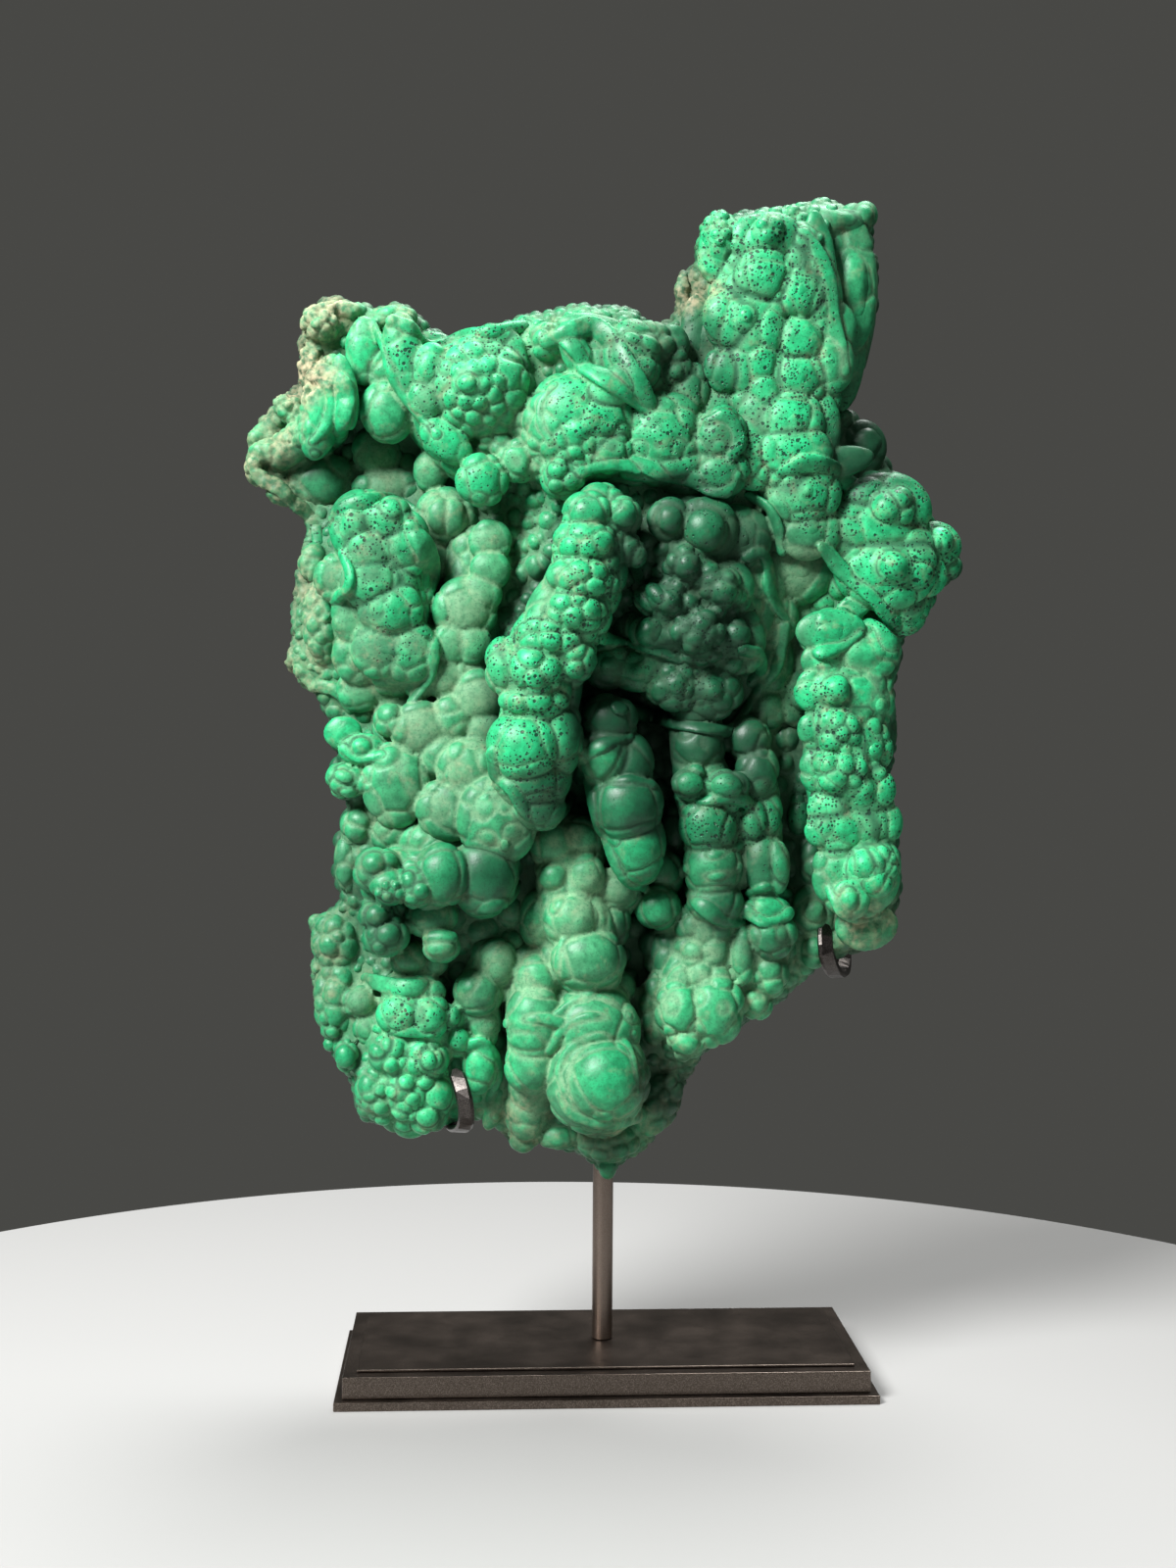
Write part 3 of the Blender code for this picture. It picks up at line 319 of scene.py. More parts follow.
# Plates whose middles are seated at stated places: across, down, half-width, and half-height where
# it differs
STATED_PLATES = [
    (450, 374, 12, 11), (462, 359, 13, 10), (482, 352, 14, 10), (505, 349, 15, 11), (524, 362, 13, 15),
    (533, 385, 12, 16), (529, 408, 11, 13), (446, 392, 10, 12), (465, 376, 9), (483, 372, 9),
    (500, 371, 11, 10), (512, 387, 9, 10), (493, 392, 8), (503, 402, 8), (474, 409, 9), (489, 410, 8),
    (509, 417, 8, 9), (520, 427, 9), (499, 431, 8), (483, 428, 9), (467, 424, 9, 8), (457, 408, 8, 9),
    (437, 407, 14, 13), (462, 432, 10, 12), (555, 366, 10, 16), (552, 342, 12, 9), (560, 456, 11),
    (573, 470, 11, 10), (590, 478, 11, 9), (606, 471, 11, 10), (622, 457, 12, 11), (634, 440, 9, 12),
    (603, 454, 9), (587, 462, 9), (571, 448, 9), (490, 508, 13, 9), (529, 448, 8, 12), (543, 453, 7, 11),
    (528, 470, 9, 12), (544, 476, 8, 11), (655, 456, 9, 20), (672, 452, 10, 25), (690, 455, 10, 25),
    (708, 462, 9, 20), (705, 372, 9, 12), (735, 452, 16, 18), (722, 402, 11, 14), (700, 425, 11, 12),
    (678, 412, 12), (385, 462, 20, 22), (345, 474, 14, 16), (365, 498, 16, 12), (398, 498, 24, 15),
    (395, 463, 12, 16), (440, 483, 12, 17), (415, 470, 13, 15), (425, 505, 16, 12), (472, 553, 12, 14),
    (745, 262, 10, 16), (801, 310, 12, 13), (850, 755, 20, 15), (878, 785, 15, 14), (845, 801, 17, 15),
    (845, 842, 14, 13), (885, 838, 20, 16), (857, 868, 15, 13), (848, 712, 15, 13), (872, 718, 14, 12),
    (842, 734, 14, 12), (869, 808, 13), (892, 712, 11, 16), (600, 528, 25, 18), (622, 517, 15, 12),
    (637, 548, 12, 11), (606, 622, 13, 12), (590, 607, 12, 11), (612, 578, 12, 11), (592, 580, 12),
    (600, 560, 12, 11), (580, 560, 13, 12), (578, 590, 12), (572, 612, 12), (585, 632, 13, 11),
    (563, 632, 12), (545, 628, 15, 13), (530, 640, 16, 15), (513, 682, 19, 28), (536, 666, 15, 20),
    (562, 655, 12), (588, 660, 15, 16), (566, 683, 13, 12), (588, 685, 12), (550, 714, 15, 12),
    (525, 718, 13, 12), (576, 712, 14, 12), (598, 692, 10, 12), (545, 695, 12, 9), (703, 745, 13, 16),
    (716, 760, 12, 14), (757, 780, 14), (776, 760, 13, 16), (775, 800, 14), (690, 1028, 15, 22),
    (716, 1022, 14, 15), (735, 1030, 14, 17), (712, 1048, 12), (690, 1000, 15), (716, 995, 14, 13),
    (738, 1000, 13, 14), (706, 972, 14, 13), (732, 970, 14, 13), (712, 948, 15, 12), (738, 948, 13, 11),
    (770, 955, 13, 14), (795, 955, 13, 14), (757, 972, 8, 26), (785, 985, 15, 16), (770, 1018, 14),
    (795, 975, 12, 14), (475, 620, 21, 22), (462, 655, 14, 20), (480, 657, 14, 20), (500, 582, 16, 15),
    (490, 604, 14, 13), (500, 552, 16, 15), (490, 712, 20, 21), (495, 748, 19), (467, 742, 14),
    (430, 745, 22, 20), (455, 690, 17, 18), (458, 722, 15, 14), (475, 788, 18, 17), (475, 812, 17, 15),
    (455, 826, 17, 16), (462, 766, 14, 12), (437, 790, 11, 15), (498, 828, 17, 19), (512, 825, 14, 17),
    (520, 846, 15), (500, 852, 14, 13), (495, 778, 15), (505, 795, 15, 14), (362, 535, 20, 24),
    (395, 524, 21, 17), (345, 590, 16, 17), (378, 563, 17, 16), (380, 592, 18, 16), (392, 620, 18, 15),
    (388, 662, 16, 21), (404, 662, 10, 22), (418, 662, 12, 21), (362, 628, 13, 20), (365, 668, 15),
    (368, 703, 14, 12), (354, 713, 9), (387, 700, 12, 11), (373, 723, 9, 8), (395, 722, 13, 14),
    (410, 745, 14, 13), (388, 750, 13, 12), (395, 775, 13, 12), (415, 795, 20, 26), (430, 855, 18, 17),
    (395, 845, 16), (366, 832, 13), (380, 748, 12, 10), (345, 745, 11, 10), (372, 893, 9, 12),
    (380, 952, 9, 10), (566, 860, 15, 14), (590, 853, 13), (594, 870, 15, 14), (598, 896, 16, 17),
    (566, 925, 15, 14), (588, 940, 24), (630, 908, 17), (618, 938, 14, 22), (556, 948, 13, 20),
    (549, 975, 14, 18), (545, 1003, 19, 17), (404, 1030, 18, 19), (433, 1036, 15), (405, 1063, 13, 12),
    (425, 1068, 13, 12), (398, 1090, 10), (418, 1088, 10), (425, 1122, 9), (375, 1120, 8, 10),
    (540, 1062, 23, 24), (370, 1022, 15, 14), (366, 1090, 9, 10), (370, 1108, 10, 12), (358, 1049, 12, 11),
    (378, 1048, 12), (508, 980, 20, 21), (350, 893, 12, 13), (540, 1125, 18, 22), (480, 1008, 18, 20),
    (497, 1045, 12, 20), (425, 972, 14), (750, 549, 22, 24), (708, 592, 13, 12), (690, 572, 11, 12),
    (706, 572, 11), (724, 580, 12), (742, 592, 12), (756, 608, 11, 12), (690, 602, 11, 12), (706, 615, 12),
    (722, 603, 12), (738, 618, 12), (752, 633, 12), (690, 622, 12, 11), (705, 637, 12), (722, 632, 12, 11),
    (735, 645, 12), (748, 658, 12), (674, 632, 12, 11), (690, 648, 12, 11), (706, 660, 12), (720, 655, 11),
    (733, 672, 13, 12), (716, 680, 13, 12), (700, 683, 12, 11), (640, 668, 20, 13), (663, 675, 12, 11),
    (682, 683, 13, 10), (620, 688, 14, 12), (648, 698, 20, 15), (677, 705, 15, 13), (700, 703, 14, 12),
    (660, 715, 14, 11), (687, 722, 14, 13), (712, 716, 14), (736, 716, 14), (748, 700, 12),
    (745, 680, 12, 11), (815, 580, 26), (812, 712, 14, 20), (785, 720, 15), (825, 985, 12, 15),
    (790, 525, 12, 26),
]

# Shell lips: tilt in degrees, then the places along each outer edge, across, down, lift in
# millimetres and half-width in pixels
RIMS = {
    "upper_growth": [
        (28, [(333, 374, 1, 8), (352, 385, 1, 9), (360, 405, 1, 10), (355, 432, 1, 10), (343, 457, 1, 9),
              (320, 464, 0, 7)]),
        (30, [(320, 380, 1, 7), (336, 393, 1, 7), (341, 412, 1, 7), (336, 436, 1, 7), (322, 452, 0, 6)]),
        (-25, [(248, 468, 1, 7), (261, 490, 1, 8), (283, 503, 1, 8), (300, 522, 1, 7), (316, 534, 1, 7),
               (320, 554, 0, 6)]),
        (22, [(383, 328, 0, 6), (391, 350, 0, 6), (400, 376, 0, 6), (411, 398, 0, 6), (428, 424, 0, 6),
              (448, 440, 0, 6)]),
        (25, [(402, 324, 1, 7), (420, 331, 1, 8), (430, 346, 1, 8), (446, 350, 1, 8), (470, 342, 1, 8),
              (500, 335, 1, 7), (530, 331, 1, 7)]),
        (22, [(556, 343, 0, 8), (580, 332, 1, 10), (604, 326, 1, 11), (624, 336, 1, 12),
              (642, 362, 1, 12), (658, 388, 1, 11), (668, 410, 0, 8)]),
        (-22, [(566, 346, 0, 8), (580, 358, 1, 9), (594, 376, 0, 8)]),
        (-24, [(592, 380, 1, 10), (616, 394, 1, 12), (640, 409, 1, 11), (656, 420, 0, 8)]),
        (-28, [(588, 490, 1, 7), (604, 482, 1, 8), (624, 478, 1, 8), (650, 483, 1, 7)]),
        (-26, [(645, 474, 1, 9), (666, 486, 1, 11), (690, 491, 1, 11), (708, 495, 1, 10),
               (726, 506, 1, 9), (744, 504, 1, 8), (755, 486, 0, 7)]),
        (24, [(722, 426, 0, 7), (739, 421, 1, 8), (753, 432, 1, 8), (757, 452, 1, 8), (748, 470, 0, 7)]),
        (20, [(560, 452, 0, 6), (549, 433, 0, 6), (549, 411, 0, 6), (563, 393, 0, 6)]),
    ],
    "right_growth": [
        (22, [(824, 236, 0, 9), (841, 262, 1, 10), (851, 292, 1, 10), (854, 322, 1, 10), (863, 352, 0, 8),
              (866, 378, 0, 8)]),
        (-26, [(836, 562, 1, 8), (856, 586, 1, 9), (886, 612, 1, 9), (908, 638, 1, 9), (928, 648, 0, 7)]),
        (22, [(798, 478, 0, 9), (820, 466, 1, 10), (848, 471, 1, 10), (872, 492, 0, 9)]),
        (26, [(858, 622, 1, 8), (882, 632, 1, 10), (908, 650, 1, 10), (917, 676, 1, 9), (909, 700, 0, 6),
              (910, 730, 1, 7), (914, 752, 1, 7), (912, 772, 0, 6)]),
        (-24, [(818, 660, 0, 7), (835, 671, 1, 8), (858, 664, 1, 8), (878, 649, 0, 7)]),
        (-24, [(843, 908, 0, 7), (856, 932, 1, 8), (876, 941, 1, 8), (902, 934, 0, 7)]),
        (20, [(853, 213, 0, 7), (845, 232, 0, 7), (838, 246, 0, 6)]),
    ],
    "hood_growth": [
        (-28, [(764, 572, 1, 7), (774, 568, 1, 8), (779, 580, 1, 9), (780, 600, 1, 10), (790, 622, 1, 10),
               (806, 640, 0, 8)]),
        (24, [(804, 640, 1, 7), (801, 662, 1, 7), (794, 686, 1, 7), (780, 703, 0, 6)]),
        (24, [(766, 503, 0, 7), (786, 514, 1, 8), (798, 536, 1, 8), (801, 562, 0, 7)]),
        (-28, [(612, 655, 1, 8), (636, 658, 1, 9), (662, 664, 1, 9), (692, 676, 0, 7)]),
        (-26, [(606, 712, 1, 8), (630, 728, 1, 9), (660, 735, 1, 9), (690, 743, 1, 9), (718, 748, 1, 9),
               (746, 748, 1, 8), (768, 720, 0, 7), (780, 700, 0, 6)]),
        (24, [(760, 658, 1, 7), (776, 664, 1, 8), (781, 684, 1, 7), (768, 698, 0, 6)]),
    ],
    "finger_growth": [
        (-26, [(500, 768, 1, 8), (504, 793, 1, 8), (520, 808, 1, 8), (531, 828, 1, 8), (549, 846, 0, 7)]),
        (26, [(600, 768, 0, 8), (595, 792, 1, 8), (583, 819, 1, 8), (562, 845, 0, 7)]),
        (-24, [(600, 774, 0, 7), (618, 764, 1, 8), (643, 754, 0, 7)]),
        (-26, [(600, 800, 1, 8), (605, 828, 1, 8), (614, 851, 1, 8), (628, 862, 0, 7)]),
        (-26, [(617, 856, 1, 8), (625, 880, 1, 8), (639, 900, 1, 8), (656, 908, 0, 7)]),
        (-18, [(610, 806, 0, 6), (640, 798, 0, 6), (666, 804, 0, 6)]),
        (-24, [(692, 816, 0, 7), (720, 821, 1, 8), (746, 817, 1, 8), (766, 826, 0, 7)]),
        (-26, [(699, 906, 1, 8), (713, 928, 1, 9), (734, 942, 1, 9), (755, 944, 0, 8)]),
        (-18, [(700, 868, 0, 6), (728, 876, 0, 6), (756, 866, 0, 6)]),
        (-18, [(700, 890, 0, 6), (730, 898, 0, 6), (755, 888, 0, 6)]),
        (-26, [(761, 934, 1, 8), (780, 945, 1, 8), (804, 936, 1, 8)]),
        (20, [(764, 908, 0, 6), (784, 902, 0, 6), (804, 908, 0, 6)]),
    ],
    "left_growth": [
        (24, [(424, 536, 1, 10), (440, 558, 1, 13), (447, 588, 1, 13), (438, 610, 0, 9)]),
        (26, [(432, 606, 0, 8), (441, 636, 1, 9), (446, 664, 1, 9), (441, 692, 1, 9), (424, 716, 0, 8)]),
        (24, [(338, 526, 0, 8), (352, 513, 1, 9), (376, 507, 1, 9), (402, 506, 1, 9), (424, 518, 0, 8)]),
        (24, [(350, 563, 0, 6), (361, 584, 1, 6), (358, 603, 1, 6), (343, 615, 0, 6)]),
        (-24, [(296, 692, 0, 7), (316, 707, 1, 7), (342, 709, 1, 7), (355, 726, 0, 6)]),
        (-26, [(350, 768, 0, 7), (367, 777, 1, 7), (389, 773, 0, 6)]),
        (-26, [(330, 788, 0, 6), (338, 804, 1, 6), (356, 814, 1, 6), (376, 806, 0, 6)]),
    ],
    "lower_growth": [
        (24, [(518, 860, 0, 8), (530, 884, 1, 9), (527, 908, 1, 9), (508, 926, 1, 8), (484, 932, 0, 7)]),
        (20, [(574, 1114, 0, 6), (568, 1092, 0, 7), (582, 1066, 0, 7), (610, 1055, 0, 7),
              (638, 1062, 0, 7), (650, 1088, 0, 7), (652, 1115, 0, 6)]),
        (-28, [(570, 1118, 0, 8), (580, 1136, 1, 9), (602, 1146, 1, 9), (627, 1148, 1, 9),
               (652, 1140, 0, 8)]),
        (18, [(560, 1040, 0, 6), (586, 1018, 0, 6), (616, 1016, 0, 6), (643, 1034, 0, 6)]),
        (18, [(558, 1070, 0, 6), (577, 1044, 0, 6), (608, 1034, 0, 6), (647, 1052, 0, 6)]),
        (-18, [(517, 1048, 0, 6), (545, 1043, 0, 6), (574, 1048, 0, 6)]),
        (26, [(476, 1063, 0, 8), (493, 1060, 1, 9), (506, 1076, 1, 9), (510, 1100, 1, 8),
              (503, 1118, 0, 7), (508, 1138, 0, 6)]),
        (-20, [(572, 960, 0, 6), (567, 985, 0, 7), (576, 1007, 0, 7), (600, 1016, 0, 7)]),
        (24, [(376, 994, 1, 8), (398, 1000, 1, 9), (425, 1002, 1, 9), (452, 998, 0, 8)]),
        (-20, [(384, 1053, 0, 6), (410, 1056, 0, 7), (438, 1058, 0, 6)]),
    ],
}

# Parts of the growth that are grown as one mesh each
GROWTHS = {
    "upper_growth": UPPER_LEFT_RIM + UPPER_PATCH + PETALS,
    "right_growth": RIGHT_COLUMN + RIGHT_BLOCK + RIGHT_FINGER,
    "hood_growth": HOOD + RIGHT_HOLLOW,
    "finger_growth": CENTRE_FINGER + FINGER_B + BALL_C + FINGER_D + FINGER_E,
    "left_growth": LEFT_BLOCK + LEFT_SLOPE,
    "lower_growth": LOWER_LEFT_LOBES + LOWER_LEFT_CLUSTER + LOWER_CENTRE,
}
HOLLOWS = "hollow_growth"
CRUST = "stone_crust"

# Smooth lobes of each growth: how much wider they are than their seen part, which closes up the
# gaps, their depth over their width, and how many millimetres lower they lie. Grainy ones are as stated.
LOBE_SHAPE = {
    "upper_growth": (1.30, 0.58, 0.8), "right_growth": (1.50, 0.42, 1.0),
    "hood_growth": (1.40, 0.52, 1.2), "finger_growth": (1.08, 0.9, 0.4),
    "left_growth": (1.40, 0.50, 1.0), "lower_growth": (1.10, 0.88, 0.5),
}
GRAINY_SHAPE = (1.0, 1.0, 0.0)

# Share of a flattened lobe's depth by which its tip still stands out, and share of its grain that a
# grainy lobe is drawn in by
TIP_KEPT = 0.75
DRAWN_IN = 0.2

# Steps along a column and along a shell lip, as a share of the narrowest half-width
COLUMN_STEP = 0.2
LIP_STEP = 0.3

# Scale of the doming of each growth's plates
PLATE_RELIEF = {
    "upper_growth": 1.4, "right_growth": 1.0, "hood_growth": 1.2, "finger_growth": 1.4,
    "left_growth": 1.1, "lower_growth": 1.3, "hollow_growth": 1.5, "stone_crust": 1.5,
}

# Painted shade near a place, deep green where little light falls: across, down, and the share unless it is 0
PAINTED_SHADE_PLACES = [
    (290, 400), (350, 340), (400, 420, 0.1), (330, 490, 0.3), (400, 480, 0.1), (500, 400), (590, 430),
    (640, 350, 0.25), (700, 360, 0.45), (680, 440, 0.15), (735, 460, 0.3), (760, 300), (820, 380),
    (872, 300, 0.12), (868, 390, 0.2), (855, 224, 0.3), (800, 470), (882, 455, 0.5), (905, 570),
    (815, 580, 0.2), (600, 500, 0.2), (600, 560), (580, 640, 0.05), (540, 700, 0.05), (535, 760),
    (555, 815, 0.45), (645, 560, 0.5), (700, 510, 0.5), (720, 545, 0.45), (760, 560, 0.5), (700, 600, 0.55),
    (740, 640, 0.55), (690, 660, 0.5), (650, 690, 0.35), (700, 715, 0.5), (740, 715, 0.5), (785, 600, 0.15),
    (800, 660, 0.2), (640, 745, 0.9), (622, 730, 0.75), (615, 780, 0.3), (655, 790, 0.75), (640, 820, 0.45),
    (660, 830, 0.7), (650, 870, 0.3), (671, 926, 0.3), (710, 750, 0.5), (715, 800, 0.35), (722, 850, 0.4),
    (728, 895, 0.3), (740, 915, 0.45), (765, 770, 0.6), (770, 840, 0.35), (780, 880, 0.4), (783, 925, 0.25),
    (785, 960, 0.4), (715, 1000, 0.1), (710, 1040), (775, 1010, 0.05), (800, 760, 0.25), (820, 850, 0.15),
    (830, 940, 0.1), (850, 700), (860, 800), (885, 890, 0.05), (900, 740, 0.1), (380, 560, 0.12),
    (400, 650, 0.15), (480, 580, 0.1), (480, 660, 0.1), (470, 760, 0.1), (505, 840, 0.15), (400, 760, 0.15),
    (360, 760, 0.1), (400, 850, 0.1), (385, 890, 0.3), (395, 945, 0.45), (425, 905, 0.3), (450, 890, 0.35),
    (495, 893, 0.5), (450, 950, 0.25), (430, 980, 0.2), (490, 950, 0.4), (508, 983, 0.15), (488, 1020, 0.25),
    (335, 960, 0.3), (340, 1040, 0.25), (353, 1077, 0.3), (410, 1030), (420, 1090), (490, 1085, 0.05),
    (500, 1140, 0.2), (580, 880), (590, 940), (600, 985, 0.05), (560, 1000), (545, 1060, 0.05),
    (600, 1040, 0.15), (580, 1100, 0.1), (615, 1090, 0.25), (630, 1140, 0.1), (540, 1140, 0.2),
    (620, 1170, 0.4), (680, 1110, 0.5), (650, 960, 0.5),
]

# Radius of the small bubbles on the bare crust near a place: across, down, radius in pixels
CRUST_BUBBLES = [
    (262, 460, 4), (320, 330, 4), (400, 330, 6), (470, 355, 6), (480, 440, 7), (340, 490, 9), (330, 440, 7),
    (400, 470, 12), (450, 490, 9), (500, 530, 8), (540, 450, 6), (440, 560, 11), (480, 590, 10),
    (300, 520, 4), (305, 600, 4), (305, 680, 4), (470, 680, 12), (450, 720, 12), (350, 740, 8),
    (400, 740, 8), (350, 830, 11), (390, 800, 9), (460, 860, 11), (330, 960, 4), (330, 1040, 4),
    (480, 930, 12), (470, 1000, 9), (510, 1090, 9), (560, 560, 8), (560, 600, 7), (640, 740, 10),
    (660, 840, 10), (660, 960, 10), (740, 760, 10), (755, 880, 9), (800, 640, 10), (800, 720, 9),
    (800, 800, 10), (820, 880, 10), (830, 960, 9), (560, 340, 5), (640, 325, 5), (697, 300, 4),
    (860, 380, 8), (880, 460, 9), (950, 570, 8), (900, 650, 8), (900, 760, 6), (660, 1040, 8),
    (640, 1170, 5), (700, 1100, 4), (760, 1030, 6), (820, 990, 6), (510, 1140, 5), (540, 1165, 5),
    (400, 1140, 6),
]
REAR_BUBBLE = 7.5

# Spread of the sizes of small bubbles and plates, and of the three radii of one small bubble
UNEVEN_SIZE = (0.75, 1.3)
UNEVEN_BUBBLE = (0.9, 1.12)

# Smallest radius of a small bubble, and how clear it keeps of a seated one, over that one's size
LEAST_BUBBLE = 0.0009
CLEAR_OF_SEATED = 0.8

# How far a normal turns back where the rear begins, and the rise of its bubbles over the others'
REAR_FACING = 0.35
REAR_RISE = 0.6

# How much wider and how much lower the seated bubbles lie than stated, and how far they are turned
# towards the viewer
KNOB_SPREAD = 1.10
KNOB_RISE = 0.8
KNOB_FACING = 0.35

# Widest lobe in pixels that is one plate, and the plate's share of the lobe
WIDEST_PLATE = 40
LOBE_PLATE = 0.9

# Plates that the skin is divided into near a place: across, down, plate radius in pixels and
# doming in millimetres
PLATES = [
    (300, 420, 5, 0.3), (330, 340, 5, 0.4), (372, 358, 14, 0.3), (396, 420, 20, 0.3), (415, 365, 12, 0.35),
    (440, 400, 12, 0.35), (490, 400, 10, 0.7), (525, 380, 12, 0.6), (500, 440, 9, 0.6), (455, 450, 14, 0.3),
    (492, 490, 16, 0.3), (530, 470, 9, 0.6), (560, 350, 10, 0.5), (592, 410, 22, 0.6), (600, 455, 13, 0.7),
    (575, 485, 16, 0.4), (612, 340, 24, 0.25), (632, 392, 30, 0.2), (645, 360, 12, 0.4), (680, 440, 16, 0.5),
    (690, 470, 24, 0.3), (735, 460, 14, 0.4), (705, 400, 13, 0.5), (690, 360, 14, 0.3), (735, 250, 26, 0.5),
    (785, 240, 30, 0.7), (780, 290, 22, 0.6), (757, 326, 26, 0.7), (818, 290, 24, 0.6), (840, 300, 16, 0.3),
    (872, 300, 40, 0.3), (815, 370, 18, 0.6), (750, 380, 18, 0.6), (805, 440, 20, 0.6), (770, 465, 18, 0.5),
    (820, 510, 22, 0.6), (906, 522, 26, 0.7), (905, 580, 20, 0.7), (950, 560, 18, 0.6), (925, 620, 22, 0.5),
    (882, 455, 20, 0.3), (846, 643, 18, 0.5), (880, 668, 14, 0.5), (850, 700, 14, 0.8), (890, 710, 12, 0.7),
    (855, 750, 14, 0.9), (885, 780, 13, 0.9), (860, 820, 13, 0.9), (886, 850, 14, 0.7), (886, 888, 18, 0.6),
    (884, 948, 20, 0.3), (815, 580, 26, 0.4), (790, 640, 18, 0.4), (805, 720, 14, 0.5), (803, 800, 12, 0.5),
    (820, 880, 11, 0.6), (830, 950, 10, 0.5), (683, 530, 16, 0.3), (720, 541, 24, 0.2), (752, 550, 22, 0.3),
    (784, 530, 22, 0.2), (700, 590, 11, 0.9), (740, 620, 12, 0.9), (700, 650, 11, 0.9), (665, 650, 11, 0.8),
    (650, 690, 12, 0.8), (700, 705, 14, 0.9), (740, 700, 12, 0.8), (605, 530, 14, 0.5), (600, 570, 9, 0.7),
    (585, 620, 9, 0.7), (560, 655, 11, 0.8), (520, 680, 22, 0.5), (560, 700, 12, 0.7), (535, 760, 24, 0.5),
    (568, 752, 18, 0.5), (550, 810, 20, 0.4), (622, 735, 24, 0.3), (625, 780, 22, 0.35),
    (640, 825, 24, 0.35), (650, 865, 26, 0.3), (671, 926, 20, 0.3), (712, 762, 24, 0.3), (722, 803, 16, 0.4),
    (722, 845, 18, 0.45), (728, 890, 20, 0.4), (735, 930, 20, 0.3), (715, 970, 13, 0.7),
    (710, 1010, 13, 0.8), (700, 1045, 14, 0.7), (668, 1030, 9, 0.6), (764, 760, 18, 0.3),
    (778, 830, 20, 0.35), (780, 890, 20, 0.35), (783, 928, 22, 0.2), (786, 960, 15, 0.5),
    (780, 1000, 12, 0.6), (372, 540, 20, 0.5), (405, 530, 18, 0.5), (385, 590, 18, 0.5), (395, 630, 18, 0.5),
    (400, 665, 16, 0.6), (428, 620, 26, 0.3), (345, 590, 18, 0.35), (330, 640, 7, 0.5), (364, 660, 16, 0.45),
    (380, 705, 12, 0.5), (475, 600, 16, 0.5), (475, 660, 14, 0.6), (480, 720, 16, 0.5), (430, 745, 16, 0.5),
    (405, 790, 15, 0.5), (470, 790, 16, 0.5), (508, 836, 20, 0.45), (355, 760, 14, 0.4), (350, 800, 9, 0.5),
    (370, 842, 14, 0.5), (440, 490, 18, 0.4), (455, 530, 16, 0.4), (500, 530, 12, 0.5), (540, 560, 12, 0.6),
    (545, 610, 14, 0.5), (330, 490, 22, 0.3), (400, 480, 20, 0.3), (430, 570, 18, 0.4), (440, 870, 22, 0.35),
    (452, 893, 26, 0.3), (494, 893, 28, 0.25), (390, 888, 14, 0.4), (415, 905, 9, 0.6), (392, 945, 14, 0.4),
    (450, 950, 16, 0.3), (508, 983, 22, 0.3), (488, 1020, 20, 0.3), (335, 960, 9, 0.7), (340, 1040, 10, 0.7),
    (372, 1030, 13, 0.5), (410, 1030, 18, 0.4), (400, 1075, 13, 0.8), (435, 1085, 13, 0.8),
    (385, 1115, 11, 0.6), (440, 1125, 16, 0.6), (490, 1080, 16, 0.3), (506, 1130, 12, 0.4),
    (580, 870, 16, 0.5), (590, 930, 18, 0.5), (600, 985, 26, 0.4), (560, 990, 20, 0.4), (546, 1050, 26, 0.3),
    (604, 1045, 24, 0.35), (590, 1100, 30, 0.25), (618, 1102, 40, 0.2), (540, 1140, 12, 0.4),
    (570, 1160, 12, 0.4), (620, 1170, 8, 0.6), (680, 1110, 8, 0.6), (650, 960, 14, 0.4),
]

# How the table of plates is weighed near a place, and how far a plate keeps clear of a stated one,
# over the stated plate's size and over its own
PLATE_REACH = 60.0
CLEAR_OF_STATED = 0.9
CLEAR_OF_OWN = 0.6

# Half-depth in millimetres of the bubbles from which on the skin has plates, and over how many
# millimetres they fade in
PLATED_FROM = 3.6
PLATED_OVER = 1.0

# How the border of a plate wanders: how far in millimetres, the share of the finer waves, and the
# spans and starting numbers of the wide and the fine waves
WANDER = 0.7
FINE_WANDER = 0.4
WIDE_WAVES = (6.0 * MM, (6, 7, 8))
FINE_WAVES = (2.5 * MM, (9, 10, 12))
NEAR_PLATES = 4

# Starting numbers of the draws for the plates' steps and the bubbles' tones
STEP_SEED = 7
TONE_SEED = 5

# Height of a plate's middle, how square its dome is, how deep its rim may fall
PLATE_MIDDLE = 0.5
DOME_POWER = 2.4
RIM_FALL = 2.0

# How far from a bubble the skin still counts as its own
SKIN_REACH = 0.0020

# Thickness of a shell lip, and how far its middle lies inside its edge, over its half-width
LIP_THICKNESS = 0.0026
LIP_INSET = 0.75

# Share of the hidden faces that are left out, and how strongly they go before the others
THINNED = 0.93
THIN_FIRST = 10.0

# Limits in metres of the fillet and of the fine groove between two bubbles, and the groove's reach
FILLET_LIMITS = (0.2 * MM, 2.5 * MM)
GROOVE_LIMITS = (0.05 * MM, 0.45 * MM)
GROOVE_REACH = 0.45 * MM

# Pressing the skin onto its bubbles: rounds, and in grains how far a bubble is looked for, how near
# it has to be and how far a round moves the skin
PRESS_ROUNDS = 3
PRESS_SEARCH = 2.5
PRESS_NEAR = 2.2
PRESS_STEP = 0.9

# Height and span of the skin's fine unevenness
UNEVEN_HEIGHT = 0.06 * MM
UNEVEN_SPAN = 2.6 * MM

# Waves of the crumbly matrix and its sharp ridges: share, span and starting number of each
MATRIX_WAVES = ((0.55, 4.5 * MM, 2), (0.45, 1.9 * MM, 3))
MATRIX_RIDGES = (0.3, 1.1 * MM, 4)

# Depth of a valley that counts as full, and of a hollow that does
FULL_VALLEY = 0.16 * MM
FULL_HOLLOW = 12.0 * MM

